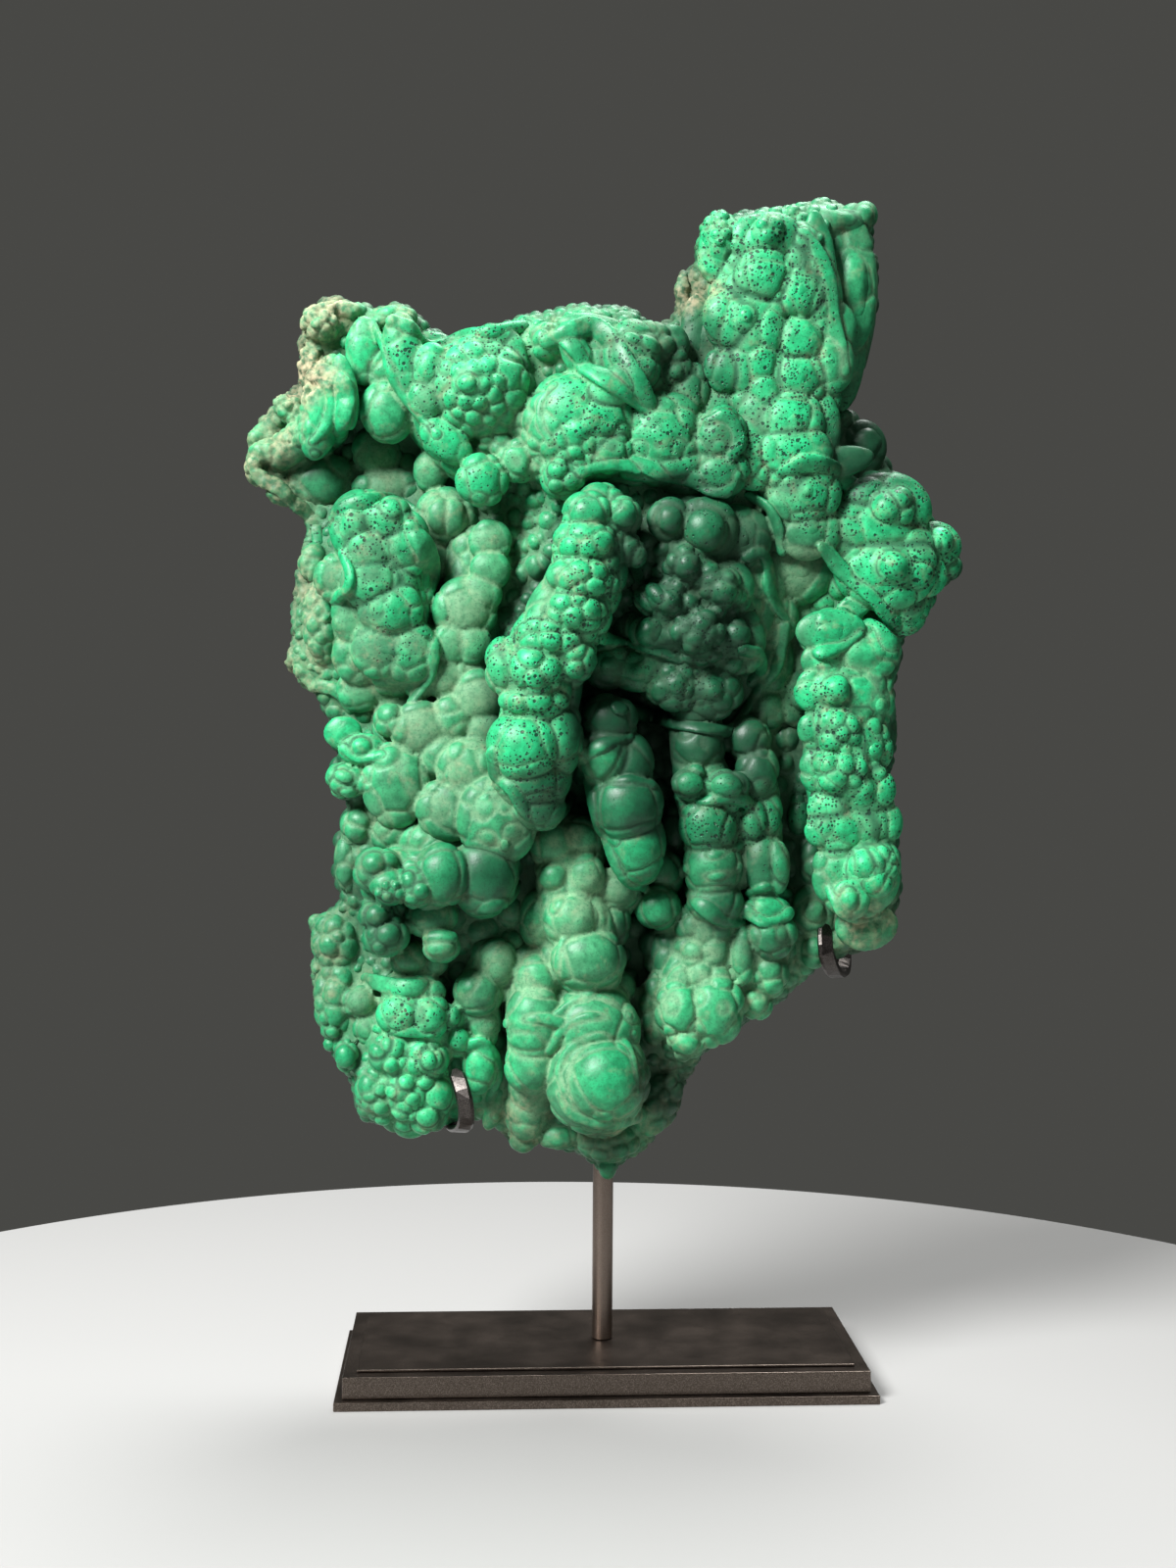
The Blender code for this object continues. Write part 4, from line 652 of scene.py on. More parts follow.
# Half-width of a crease over the bubble's radius, its limits, and how strong a plate's crease is
CREASE_SHARE = 0.22
CREASE_LIMITS = (0.35 * MM, 1.0 * MM)
PLATE_CREASE = 0.85

# Grid over which the stone's general face is smoothed: its low corner, its high corner, its step
FACE_LOW = (-0.15, 0.06)
FACE_HIGH = (0.15, 0.47)
FACE_STEP = 0.002
FACE_ROUNDS = 60

# Finish near a place: across, down, how fresh and bright the green is, black pits, tan matrix. Last
# values of 0 are left out.
FINISH = [
    (262, 460, 0.35, 0, 0.55), (290, 500, 0.3, 0, 0.6), (310, 380, 0.2, 0, 1), (325, 320, 0.3, 0, 0.8),
    (335, 430, 0.7), (372, 358, 0.75, 0.1), (400, 325, 0.5, 0.1, 0.3), (396, 415, 0.5), (330, 490, 0.3),
    (400, 490, 0.15), (455, 528, 0.15), (440, 570, 0.12), (415, 365, 0.85, 0.7), (440, 390, 0.8, 0.5),
    (490, 400, 0.75, 0.4), (505, 346, 0.8, 0.6), (530, 385, 0.75, 0.4), (455, 450, 0.8, 0.4),
    (500, 450, 0.4, 0.1), (540, 430, 0.4, 0.1), (492, 490, 0.85, 0.4), (530, 470, 0.5, 0.3), (500, 530, 0.2),
    (560, 350, 0.6, 0.3, 0.2), (600, 330, 0.7, 0.2, 0.1), (632, 392, 0.85, 0.2), (645, 360, 0.55, 0.8),
    (680, 350, 0.5, 0.2, 0.2), (592, 437, 0.9, 0.9), (575, 485, 0.85, 0.4), (620, 480, 0.8, 0.2),
    (680, 440, 0.75, 0.7), (680, 480, 0.9, 0.4), (735, 445, 0.6, 0.5), (735, 482, 0.6, 0.5),
    (705, 400, 0.4, 0.5), (712, 340, 0.4, 0.5), (697, 300, 0.2, 0, 1), (735, 250, 0.8, 0.5),
    (785, 240, 0.9, 0.8), (780, 290, 0.95, 1), (757, 326, 0.9, 1), (818, 290, 0.95, 0.9),
    (870, 290, 0.45, 0.1), (870, 370, 0.4, 0.1), (855, 222, 0.5, 0, 0.1), (815, 370, 0.95, 1),
    (747, 380, 0.85, 0.8), (840, 407, 0.6, 0.5), (807, 440, 0.9, 0.9), (770, 465, 0.85, 0.8),
    (820, 510, 0.8, 0.9), (875, 455, 0.25, 0.1), (906, 522, 0.95, 0.9), (905, 580, 0.95, 1),
    (950, 560, 0.9, 0.8), (925, 620, 0.9, 0.7), (815, 580, 0.15), (784, 590, 0.4, 0.1), (800, 650, 0.15),
    (846, 643, 0.85, 0.3), (880, 668, 0.5, 0.2), (845, 720, 0.85, 0.7), (895, 710, 0.55, 0.1),
    (855, 770, 0.95, 1), (880, 800, 0.8, 0.6), (850, 840, 0.85, 0.7), (886, 885, 0.8, 0.3),
    (884, 948, 0.2, 0, 0.45), (800, 760, 0.1), (810, 880, 0.1), (830, 950, 0.1), (610, 520, 0.6, 0.3),
    (600, 570, 0.75, 0.6), (590, 620, 0.75, 0.6), (540, 600, 0.2), (540, 660, 0.8, 0.7),
    (518, 680, 0.8, 0.8), (545, 716, 0.75, 0.7), (535, 760, 0.95, 1), (545, 810, 0.6, 0.7),
    (680, 530, 0.3, 0.3), (718, 541, 0.6, 0.4), (750, 550, 0.3, 0.3), (785, 530, 0.3, 0.1),
    (700, 600, 0.45, 0.5), (740, 640, 0.45, 0.5), (660, 670, 0.6, 0.4), (710, 700, 0.5, 0.5),
    (640, 740, 0.1), (622, 735, 0.35, 0.1), (635, 790, 0.6, 0.05), (645, 860, 0.75, 0.05),
    (671, 926, 0.45, 0.1), (712, 762, 0.25), (722, 805, 0.75, 0.3), (722, 845, 0.65, 0.7),
    (767, 842, 0.7, 0.6), (728, 890, 0.45, 0.1), (715, 960, 0.15), (715, 1030, 0.35), (765, 760, 0.15),
    (778, 880, 0.25, 0.2, 0.1), (795, 885, 0.75, 0.3), (783, 928, 0.8), (786, 970, 0.25),
    (362, 535, 0.85, 0.9), (395, 530, 0.85, 0.8), (380, 590, 0.85, 0.7), (420, 590, 0.8, 0.4),
    (395, 625, 0.8, 0.5), (400, 662, 0.6, 0.4), (345, 590, 0.6, 0.2), (364, 650, 0.55, 0.2),
    (312, 600, 0.3, 0, 0.6), (305, 680, 0.3, 0, 0.6), (340, 650, 0.4, 0.1, 0.2), (385, 710, 0.2),
    (475, 622, 0.12), (490, 700, 0.12), (430, 745, 0.15), (350, 750, 0.6, 0.1), (368, 760, 0.8),
    (355, 795, 0.75), (405, 800, 0.2), (480, 790, 0.1), (508, 836, 0.2), (380, 840, 0.15), (350, 890, 0.25),
    (450, 885, 0.5, 0.1), (494, 893, 0.5, 0.1), (390, 885, 0.75), (420, 905, 0.8), (390, 945, 0.7),
    (445, 940, 0.2, 0, 0.1), (450, 965, 0.4, 0, 0.1), (417, 980, 0.2), (508, 983, 0.3), (489, 1020, 0.2),
    (330, 950, 0.4, 0, 0.25), (335, 1000, 0.35, 0, 0.3), (370, 1020, 0.35), (345, 1070, 0.75),
    (410, 1030, 0.85, 0.6), (420, 1000, 0.4, 0.3, 0.1), (430, 1080, 0.8, 0.4), (385, 1110, 0.6),
    (440, 1120, 0.85, 0.2), (462, 1038, 0.85, 0.5), (490, 1085, 0.65), (580, 870, 0.15), (590, 930, 0.2),
    (600, 980, 0.2), (548, 1000, 0.15), (545, 1060, 0.35), (600, 1040, 0.3), (575, 1110, 0.2),
    (620, 1100, 0.75, 0.1), (530, 1140, 0.2, 0, 0.3), (620, 1165, 0.3, 0, 0.35), (680, 1110, 0.2, 0, 0.4),
    (620, 1195, 0.6, 0, 0.1), (660, 1000, 0.1),
]
REAR_FINISH = (0.18, 0.0, 0.65)
# Share of painted shade on the stone's rear
REAR_PAINTED_SHADE = 0.15

# Numbers that scramble a lattice point into a random value
SCRAMBLE = np.array((374761393, 668265263, 2147483647))
SCRAMBLE_AGAIN = 1274126177

# What laying out the stone hands to the growing of its parts
STONE = {}


def view_axes():
    """Right, up and back directions of the camera."""
    back = Vector((math.sin(TURN) * math.cos(DIP), -math.cos(TURN) * math.cos(DIP), math.sin(DIP)))
    right = Vector((0, 0, 1)).cross(back).normalized()
    up = back.cross(right)
    turned_right = math.cos(ROLL) * right + math.sin(ROLL) * up
    turned_up = math.cos(ROLL) * up - math.sin(ROLL) * right
    return np.array(turned_right), np.array(turned_up), np.array(back)


RIGHT, UP, BACK = view_axes()


def sight(across, down):
    """Direction in which the camera sees a place."""
    aside = (across - PICTURE_WIDTH / 2) / FOCAL
    above = (PICTURE_HEIGHT / 2 - down) / FOCAL
    return RIGHT * aside + UP * above - BACK


def place(across, down, forward):
    """Point seen at (across, down), forward millimetres in front of the stem's axis."""
    ahead = sight(across, down)
    return EYE + ahead * ((-forward * MM - EYE[1]) / ahead[1])


def pixel_size(forward):
    """Metres that one pixel spans at this distance in front of the stem's axis."""
    return (-EYE[1] - forward * MM) / FOCAL


def seen_at(points):
    """Across and down at which each of the points is seen."""
    offset = points - EYE
    ahead = -(offset @ BACK)
    across = PICTURE_WIDTH / 2 + FOCAL * (offset @ RIGHT) / ahead
    down = PICTURE_HEIGHT / 2 - FOCAL * (offset @ UP) / ahead
    return across, down


def weighed(points, table, columns, reach=40.0, power=2.0):
    """Values of a table's columns at points, weighed from the nearest stated places."""
    rows = np.array([(*row, *[0] * (columns + 2 - len(row))) for row in table], dtype=float)
    across, down = seen_at(points)
    values = np.zeros((len(points), columns))
    batch = 20000
    for start in range(0, len(points), batch):
        part = slice(start, start + batch)
        apart = (across[part, None] - rows[:, 0]) ** 2 + (down[part, None] - rows[:, 1]) ** 2
        near = 1.0 / (apart + reach) ** power
        near /= near.sum(axis=1)[:, None]
        values[part] = near @ rows[:, 2:2 + columns]
    return values


class Bubbles:
    """Many ellipsoids: centres, axes, radii, the growth and the family that each is in."""

    def __init__(self):
        self.centre = []
        self.axes = []
        self.radii = []
        self.growth = []
        self.family = []

    def add(self, centre, axes, radii, growth, family=None):
        """Add one; members of a family run into each other without a crease."""
        self.centre.append(centre)
        self.axes.append(axes)
        self.radii.append(radii)
        self.growth.append(growth)
        self.family.append(len(self.centre) if family is None else family)

    def only(self, growth):
        """The bubbles of one growth alone."""
        chosen = Bubbles()
        for row in zip(self.centre, self.axes, self.radii, self.growth, self.family):
            if row[3] == growth:
                chosen.add(*row)
        return chosen

    def narrowest(self):
        """Smallest half-axis of each, and of nothing at the end."""
        return np.array([radii.min() for radii in self.radii] + [0.0])


def add_lobe(bubbles, growth, across, down, forward, half_width, half_height, lean=0, grain=0):
    """Lobe at a place, as deep as it is wide or high but never through the stone's rear."""
    size = pixel_size(forward)
    swell, flatness, lower = GRAINY_SHAPE if grain else LOBE_SHAPE[growth]
    depth = min(half_width, half_height) * size
    tip = forward + depth / MM * (TIP_KEPT + (1.0 - TIP_KEPT) * flatness) - lower
    depth = min(depth * swell * flatness, (tip - REAR_LIMIT) * MM / 2)
    radii = np.array((half_width * size * swell, depth, half_height * size * swell))
    radii -= DRAWN_IN * grain * size
    axes = np.array(Matrix.Rotation(math.radians(lean), 3, "Y"))
    bubbles.add(place(across, down, tip - depth / MM), axes, radii, growth)


def smooth_path(points, step):
    """Points along a smooth curve through the rows of points, at about even steps."""
    rows = np.array(points, dtype=float)
    rows = np.concatenate((2 * rows[:1] - rows[1:2], rows, 2 * rows[-1:] - rows[-2:-1]))
    samples = []
    for before, first, second, after in zip(rows, rows[1:], rows[2:], rows[3:]):
        count = max(1, int(np.linalg.norm(second[:3] - first[:3]) / step))
        for share in np.arange(count) / count:
            bend = 2 * first + (second - before) * share
            bend += (2 * before - 5 * first + 4 * second - after) * share ** 2
            bend += (3 * first - before - 3 * second + after) * share ** 3
            samples.append(bend / 2)
    samples.append(rows[-2])
    return np.array(samples)


def add_column(bubbles, growth, rows):
    """Smooth column along a path, a family of close ellipsoids."""
    path = []
    for across, down, forward, half_width, half_depth in rows:
        path.append((*place(across, down, forward), half_width * pixel_size(forward), half_depth * MM))
    family = -len(bubbles.centre) - 1
    for row in smooth_path(path, COLUMN_STEP * min(width for *_, width, _ in path)):
        width = row[3]
        depth = min(row[4], -row[1] - (REAR_LIMIT - COLUMN_REAR) * MM)
        bubbles.add(row[:3], np.eye(3), np.array((width, depth, width)), growth, family)


def nearest_bubbles(points, bubbles, reach):
    """Distance, owner and normal of the nearest two families of bubbles at each point."""
    count = len(points)
    order = np.argsort(points[:, 0])
    ranked = points[order]
    no_family = 10 ** 9
    gap = np.full((2, count), np.inf)
    owner = np.full((2, count), -1)
    kin = np.full((2, count), no_family)
    normal = np.zeros((2, count, 3))
    bounds = np.array([radii.max() for radii in bubbles.radii]) + reach
    middles = np.array(bubbles.centre)
    lows = np.searchsorted(ranked[:, 0], middles[:, 0] - bounds)
    highs = np.searchsorted(ranked[:, 0], middles[:, 0] + bounds)
    for index, centre in enumerate(middles):
        low, high = lows[index], highs[index]
        if low == high:
            continue
        offset = ranked[low:high] - centre
        near = np.nonzero((offset ** 2).sum(axis=1) < bounds[index] ** 2)[0]
        if not len(near):
            continue
        radii, axes, family = bubbles.radii[index], bubbles.axes[index], bubbles.family[index]
        local = offset[near] @ axes
        slope = local / radii ** 2
        span = np.linalg.norm(local / radii, axis=1) + TINY
        steep = np.linalg.norm(slope, axis=1) + TINY
        distance = span * (span - 1.0) / steep
        outward = (slope / steep[:, None]) @ axes.T
        spots = near + low
        kindred = kin[0, spots] == family
        first = distance < gap[0, spots]
        pushed = spots[first & ~kindred]
        for store in (gap, owner, kin, normal):
            store[1, pushed] = store[0, pushed]
        second = ~first & ~kindred & (distance < gap[1, spots])
        for rank, chosen in ((0, first), (1, second)):
            here = spots[chosen]
            gap[rank, here] = distance[chosen]
            owner[rank, here] = index
            kin[rank, here] = family
            normal[rank, here] = outward[chosen]
    back = np.empty(count, dtype=int)
    back[order] = np.arange(count)
    return gap[:, back], owner[:, back], normal[:, back]


def lattice_noise(points, span, seed):
    """Smooth noise from -1 to 1 at points, with lumps about span across."""
    scaled = points / span + seed * 17.31
    cell = np.floor(scaled).astype(np.int64)
    share = scaled - cell
    share = share * share * (3.0 - 2.0 * share)
    total = np.zeros(len(points))
    for corner in range(8):
        step = np.array(((corner >> 2) & 1, (corner >> 1) & 1, corner & 1))
        spot = cell + step
        mixed = (spot * SCRAMBLE).sum(axis=1)
        mixed = (mixed ^ (mixed >> 13)) * SCRAMBLE_AGAIN
        value = ((mixed ^ (mixed >> 16)) & 0xFFFF) / 32767.5 - 1.0
        weight = np.prod(np.where(step == 1, share, 1.0 - share), axis=1)
        total += weight * value
    return total


def deselect():
    bpy.ops.object.select_all(action="DESELECT")


def make_active(model):
    deselect()
    model.select_set(True)
    bpy.context.view_layer.objects.active = model


def apply_modifier(model, modifier):
    make_active(model)
    bpy.ops.object.modifier_apply(modifier=modifier.name)


def discard(model):
    shape = model.data
    bpy.data.objects.remove(model)
    bpy.data.meshes.remove(shape)


def unit_ball(subdivisions):
    """Points and faces of one ball, modelled once for all the bubbles that copy it."""
    deselect()
    bpy.ops.mesh.primitive_ico_sphere_add(subdivisions=subdivisions, radius=1.0)
    ball = bpy.context.active_object
    points = np.zeros(len(ball.data.vertices) * 3)
    ball.data.vertices.foreach_get("co", points)
    faces = np.array([face.vertices[:] for face in ball.data.polygons])
    discard(ball)
    return points.reshape(-1, 3), faces


def bubble_mesh(bubbles, big=0.0045):
    """Points and faces of all the bubbles, the bigger ones finer."""
    fine = unit_ball(3)
    coarse = unit_ball(2)
    points = []
    faces = []
    start = 0
    for centre, axes, radii in zip(bubbles.centre, bubbles.axes, bubbles.radii):
        ball, sides = fine if radii.max() > big else coarse
        points.append((ball * radii) @ axes.T + centre)
        faces.append(sides + start)
        start += len(ball)
    return np.concatenate(points), np.concatenate(faces)


def together(first, second):
    """Points and faces of two shapes as one."""
    points, faces = first
    more_points, more_faces = second
    return np.concatenate((points, more_points)), np.concatenate((faces, more_faces + len(points)))


def mesh_object(name, points, faces):
    shape = bpy.data.meshes.new(name)
    shape.vertices.add(len(points))
    shape.vertices.foreach_set("co", points.astype(np.float32).ravel())
    shape.loops.add(len(faces) * 3)
    shape.loops.foreach_set("vertex_index", faces.astype(np.int32).ravel())
    shape.polygons.add(len(faces))
    shape.polygons.foreach_set("loop_start", np.arange(0, len(faces) * 3, 3, dtype=np.int32))
    shape.update(calc_edges=True)
    shape.validate()
    model = bpy.data.objects.new(name, shape)
    bpy.context.scene.collection.objects.link(model)
    return model


def grow_together(model, voxel):
    """Join everything in the mesh to one closed skin."""
    remesh = model.modifiers.new("Grow together", "REMESH")
    remesh.mode = "VOXEL"
    remesh.voxel_size = voxel
    remesh.adaptivity = 0.0
    apply_modifier(model, remesh)


def mesh_points(model, what="co"):
    values = np.zeros(len(model.data.vertices) * 3)
    model.data.vertices.foreach_get(what, values)
    return values.reshape(-1, 3)


def mesh_normals(model):
    return mesh_points(model, "normal")


def set_points(model, points):
    model.data.vertices.foreach_set("co", points.astype(np.float32).ravel())
    model.data.update()


def crust_copy(settings):
    """Points and faces of the stone's solid, its face pressed in under the bubbles."""
    mesh = bmesh.new()
    mesh.from_mesh(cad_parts["malachite"].data)
    bmesh.ops.remove_doubles(mesh, verts=mesh.verts, dist=1e-6)
    bmesh.ops.triangulate(mesh, faces=mesh.faces)
    mesh.normal_update()
    for vert in mesh.verts:
        facing = max(0.0, -vert.normal.y)
        vert.co -= vert.normal * settings.press_in * min(1.0, 2.0 * facing)
    points = np.array([vert.co[:] for vert in mesh.verts])
    faces = np.array([[vert.index for vert in face.verts] for face in mesh.faces])
    mesh.free()
    return points, faces


def scatter_places(form, settings, draw):
    """Random spots all over the form, with their normals."""
    shape = form.data
    shape.calc_loop_triangles()
    corners = np.zeros(len(shape.loop_triangles) * 3, dtype=np.int32)
    shape.loop_triangles.foreach_get("vertices", corners)
    corners = corners.reshape(-1, 3)
    points = mesh_points(form)
    first, second, third = (points[corners[:, side]] for side in range(3))
    cross = np.cross(second - first, third - first)
    area = np.linalg.norm(cross, axis=1)
    picks = draw.choice(len(area), size=settings.bubble_tries, p=area / area.sum())
    one, two = draw.random((2, settings.bubble_tries))
    flip = one + two > 1.0
    one[flip], two[flip] = 1.0 - one[flip], 1.0 - two[flip]
    spots = first[picks] + (second - first)[picks] * one[:, None]
    spots += (third - first)[picks] * two[:, None]
    smooth = mesh_normals(form)[corners[picks]].mean(axis=1)
    smooth /= np.linalg.norm(smooth, axis=1)[:, None]
    return spots, smooth


def turned_axes(normal, spin):
    """Axes of a small bubble that stands on a surface with this normal."""
    aside = np.cross(normal, (0.0, 0.0, 1.0))
    length = np.linalg.norm(aside)
    aside = aside / length if length > 1e-3 else np.array((1.0, 0.0, 0.0))
    other = np.cross(normal, aside)
    first = math.cos(spin) * aside + math.sin(spin) * other
    return np.stack((first, normal, np.cross(first, normal)), axis=1)


def seat(tree, across, down):
    """Point and outward normal of the form where the camera sees it at this place."""
    spot, normal, _, _ = tree.ray_cast(Vector(EYE), Vector(sight(across, down)).normalized())
    if spot is None:
        spot, normal, _, _ = tree.find_nearest(Vector(place(across, down, MISSED_FORWARD)))
    facing = np.array(normal) + KNOB_FACING * BACK
    return np.array(spot), facing / np.linalg.norm(facing)


def leaning_axes(normal, lean):
    """Axes of a bubble that lies on the surface, its long side leaning in the picture."""
    angle = math.radians(lean)
    aside = math.cos(angle) * RIGHT - math.sin(angle) * UP
    aside -= normal * (aside @ normal)
    aside /= np.linalg.norm(aside)
    return np.stack((aside, -normal, np.cross(aside, -normal)), axis=1)


def add_knob(bubbles, growth, tree, across, down, half_width, half_height, rise, lean=0):
    """Bubble seated on the form at a place, standing out by a share of its own depth."""
    spot, normal = seat(tree, across, down)
    size = pixel_size(-spot[1] / MM) * KNOB_SPREAD
    depth = min(half_width, half_height) * size
    radii = np.array((half_width * size, depth, half_height * size))
    centre = spot - normal * depth * (1.0 - KNOB_RISE * rise)
    bubbles.add(centre, leaning_axes(normal, lean), radii, growth)


def add_rim(bubbles, growth, tree, tilt, rows):
    """Shell lip whose outer edge runs along a path: across, down, lift in millimetres, half-width.

    The lip tilts up to the left of its path, as seen, or to the right where the tilt is negative.
    """
    path = []
    for across, down, lift, half_width in rows:
        spot, normal = seat(tree, across, down)
        size = pixel_size(-spot[1] / MM)
        path.append((*(spot + normal * lift * MM), *normal, half_width * size))
    family = -len(bubbles.centre) - 1
    samples = smooth_path(path, LIP_STEP * min(row[-1] for row in path))
    along = np.gradient(samples[:, :3], axis=0)
    angle = math.radians(tilt)
    for row, ahead in zip(samples, along):
        normal = row[3:6] / np.linalg.norm(row[3:6])
        ahead = ahead - normal * (ahead @ normal)
        ahead /= np.linalg.norm(ahead)
        outer = np.cross(normal, ahead)
        slope = math.cos(angle) * outer + math.sin(angle) * normal
        upward = math.cos(angle) * normal - math.sin(angle) * outer
        axes = np.stack((slope, upward, ahead), axis=1)
        width = row[6]
        depth = min(LIP_THICKNESS / 2, width)
        inward = -math.copysign(LIP_INSET * width, tilt)
        bubbles.add(row[:3] + slope * inward, axes, np.array((width, depth, width)), growth, family)


def spread_out(spots, sizes, spacing):
    """Which spots stay, the widest first, when none may crowd another."""
    order = np.argsort(spots[:, 0])
    spots, sizes = spots[order], sizes[order]
    free = np.ones(len(order), dtype=bool)
    kept = []
    widest = sizes.max()
    for spot in np.argsort(-sizes):
        if not free[spot]:
            continue
        reach = spacing * (sizes[spot] + widest)
        low, high = np.searchsorted(spots[:, 0], (spots[spot, 0] - reach, spots[spot, 0] + reach))
        apart = ((spots[low:high] - spots[spot]) ** 2).sum(axis=1)
        free[low:high] &= apart > (spacing * (sizes[spot] + sizes[low:high])) ** 2
        kept.append(order[spot])
    return kept


def lay_plates(form, settings):
    """Middles and sizes of the plates that the skin is divided into."""
    draw = np.random.default_rng(settings.seed + 1)
    spots, _ = scatter_places(form, settings, draw)
    sizes = weighed(spots, PLATES, 1, reach=PLATE_REACH)[:, 0] * pixel_size(PLATE_FORWARD)
    sizes *= draw.uniform(*UNEVEN_SIZE, len(sizes))
    free = np.ones(len(spots), dtype=bool)
    for spot, size in STONE["stated"]:
        clear = CLEAR_OF_STATED * size + CLEAR_OF_OWN * sizes
        free &= ((spots - spot) ** 2).sum(axis=1) > clear ** 2
    spots, sizes = spots[free], sizes[free]
    kept = spread_out(spots, sizes, settings.plate_spacing)
    plates = STONE["stated"] + list(zip(spots[kept], sizes[kept]))
    tree = KDTree(len(plates))
    for index, (spot, _) in enumerate(plates):
        tree.insert(spot, index)
    tree.balance()
    return tree, np.array([size for _, size in plates])


def lattice_waves(points, span, seeds):
    """A smooth random direction at each point."""
    return np.stack([lattice_noise(points, span, seed) for seed in seeds], axis=1)


def divide_into_plates(model, bubbles, settings):
    """Low domed plates over the wide lobes; gives each point's crease and how pale its plate is."""
    points = mesh_points(model)
    owner = nearest_bubbles(points, bubbles, SKIN_REACH)[1][0]
    wide = np.clip((bubbles.narrowest()[owner] / MM - PLATED_FROM) / PLATED_OVER, 0.0, 1.0)
    wide[owner < 0] = 1.0
    wander = lattice_waves(points, *WIDE_WAVES)
    wander += FINE_WANDER * lattice_waves(points, *FINE_WAVES)
    tree, sizes = STONE["plates"]
    found = np.array([[(far, index) for _, index, far in tree.find_n(spot, NEAR_PLATES)]
                      for spot in points + WANDER * MM * wander])
    plate = found[:, :, 1].astype(int)
    apart = found[:, :, 0] / sizes[plate]
    order = np.argsort(apart, axis=1)
    apart = np.take_along_axis(apart, order, axis=1)
    plate = np.take_along_axis(plate, order, axis=1)[:, 0]
    doming = weighed(points, PLATES, 2, reach=PLATE_REACH)[:, 1]
    edge = (apart[:, 1] - apart[:, 0]) * sizes[plate]
    crease = wide * np.exp(-(edge / settings.crease_width) ** 2)
    steps = np.random.default_rng(STEP_SEED).uniform(-1.0, 1.0, len(sizes))
    step = steps[plate] * (1.0 - crease)
    dome = PLATE_MIDDLE - np.minimum(apart[:, 0] ** DOME_POWER, RIM_FALL)
    height = wide * doming * MM * PLATE_RELIEF[model.name] * dome
    height += settings.plate_step * step - settings.plate_groove * crease
    set_points(model, points + mesh_normals(model) * height[:, None])
    return crease, step


def cover_with_bubbles(bubbles, form, seated, settings):
    """Small bubbles all over the bare crust, the large ones laid first."""
    draw = np.random.default_rng(settings.seed)
    spots, normals = scatter_places(form, settings, draw)
    gap = nearest_bubbles(spots, bubbles, 2 * SKIN_REACH)[0]
    bare = np.abs(gap[0]) >= settings.lobe_reach
    rear = normals[:, 1] > REAR_FACING
    usual = np.zeros(len(spots))
    usual[bare] = settings.bubble_scale * weighed(spots[bare], CRUST_BUBBLES, 1)[:, 0]
    usual *= pixel_size(HOLLOW_FORWARD)
    usual[bare & rear] = REAR_BUBBLE * pixel_size(REAR_FORWARD)
    radius = usual * draw.uniform(*UNEVEN_SIZE, len(usual))
    ready = radius > LEAST_BUBBLE
    for spot, size in seated:
        apart = ((spots - spot) ** 2).sum(axis=1)
        ready &= apart > (CLEAR_OF_SEATED * size + settings.spacing * radius) ** 2
    spots, normals, radius, rear = spots[ready], normals[ready], radius[ready], rear[ready]
    usual = usual[ready]
    for spot in spread_out(spots, radius, settings.spacing):
        here, size = spots[spot], radius[spot]
        growth = CRUST if rear[spot] else HOLLOWS
        rise = settings.rise * (REAR_RISE if growth == CRUST else 1.0) * usual[spot]
        uneven = draw.uniform(*UNEVEN_BUBBLE, 3)
        axes = turned_axes(normals[spot], draw.uniform(0.0, math.pi))
        centre = here - normals[spot] * (size - rise)
        bubbles.add(centre, axes, size * uneven, growth)


def lay_out_stone(settings):
    """The form that the small bubbles sit on, and every bubble of the stone."""
    bubbles = Bubbles()
    for growth, columns in COLUMNS.items():
        for column in columns:
            add_column(bubbles, growth, column)
    for growth, lobes in GROWTHS.items():
        for lobe in lobes:
            add_lobe(bubbles, growth, *lobe)
    crust = crust_copy(settings)
    form = mesh_object("form_guide", *together(bubble_mesh(bubbles), crust))
    grow_together(form, settings.form_grain)
    guide = bmesh.new()
    guide.from_mesh(form.data)
    tree = BVHTree.FromBMesh(guide)
    guide.free()
    seated = seat_bubbles_and_lips(bubbles, tree)
    cover_with_bubbles(bubbles, form, seated, settings)
    STONE["plates"] = lay_plates(form, settings)
    STONE["tree"] = tree
    STONE["face"] = general_face(tree)
    STONE["bubbles"] = bubbles
    STONE["crust"] = crust
    discard(form)


def seat_bubbles_and_lips(bubbles, tree):
    """Stated plates, bubbles and shell lips on the form; gives where the seated ones are, and sizes."""
    first = len(bubbles.centre)
    stated = []
    for lobes in GROWTHS.values():
        for across, down, _, half_width, half_height, *lean_and_grain in lobes:
            size = math.sqrt(half_width * half_height)
            if len(lean_and_grain) < 2 and size < WIDEST_PLATE:
                stated.append((seat(tree, across, down)[0], LOBE_PLATE * size * pixel_size(PLATE_FORWARD)))
    for across, down, *halves in STATED_PLATES:
        size = math.sqrt(halves[0] * halves[-1])
        stated.append((seat(tree, across, down)[0], size * pixel_size(PLATE_FORWARD)))
    STONE["stated"] = stated
    for growth, knobs in KNOBS.items():
        for knob in knobs:
            add_knob(bubbles, growth, tree, *knob)
    for growth, rims in RIMS.items():
        for tilt, rows in rims:
            add_rim(bubbles, growth, tree, tilt, rows)
    return [(spot, radii.max()) for spot, radii in zip(bubbles.centre[first:], bubbles.radii[first:])]


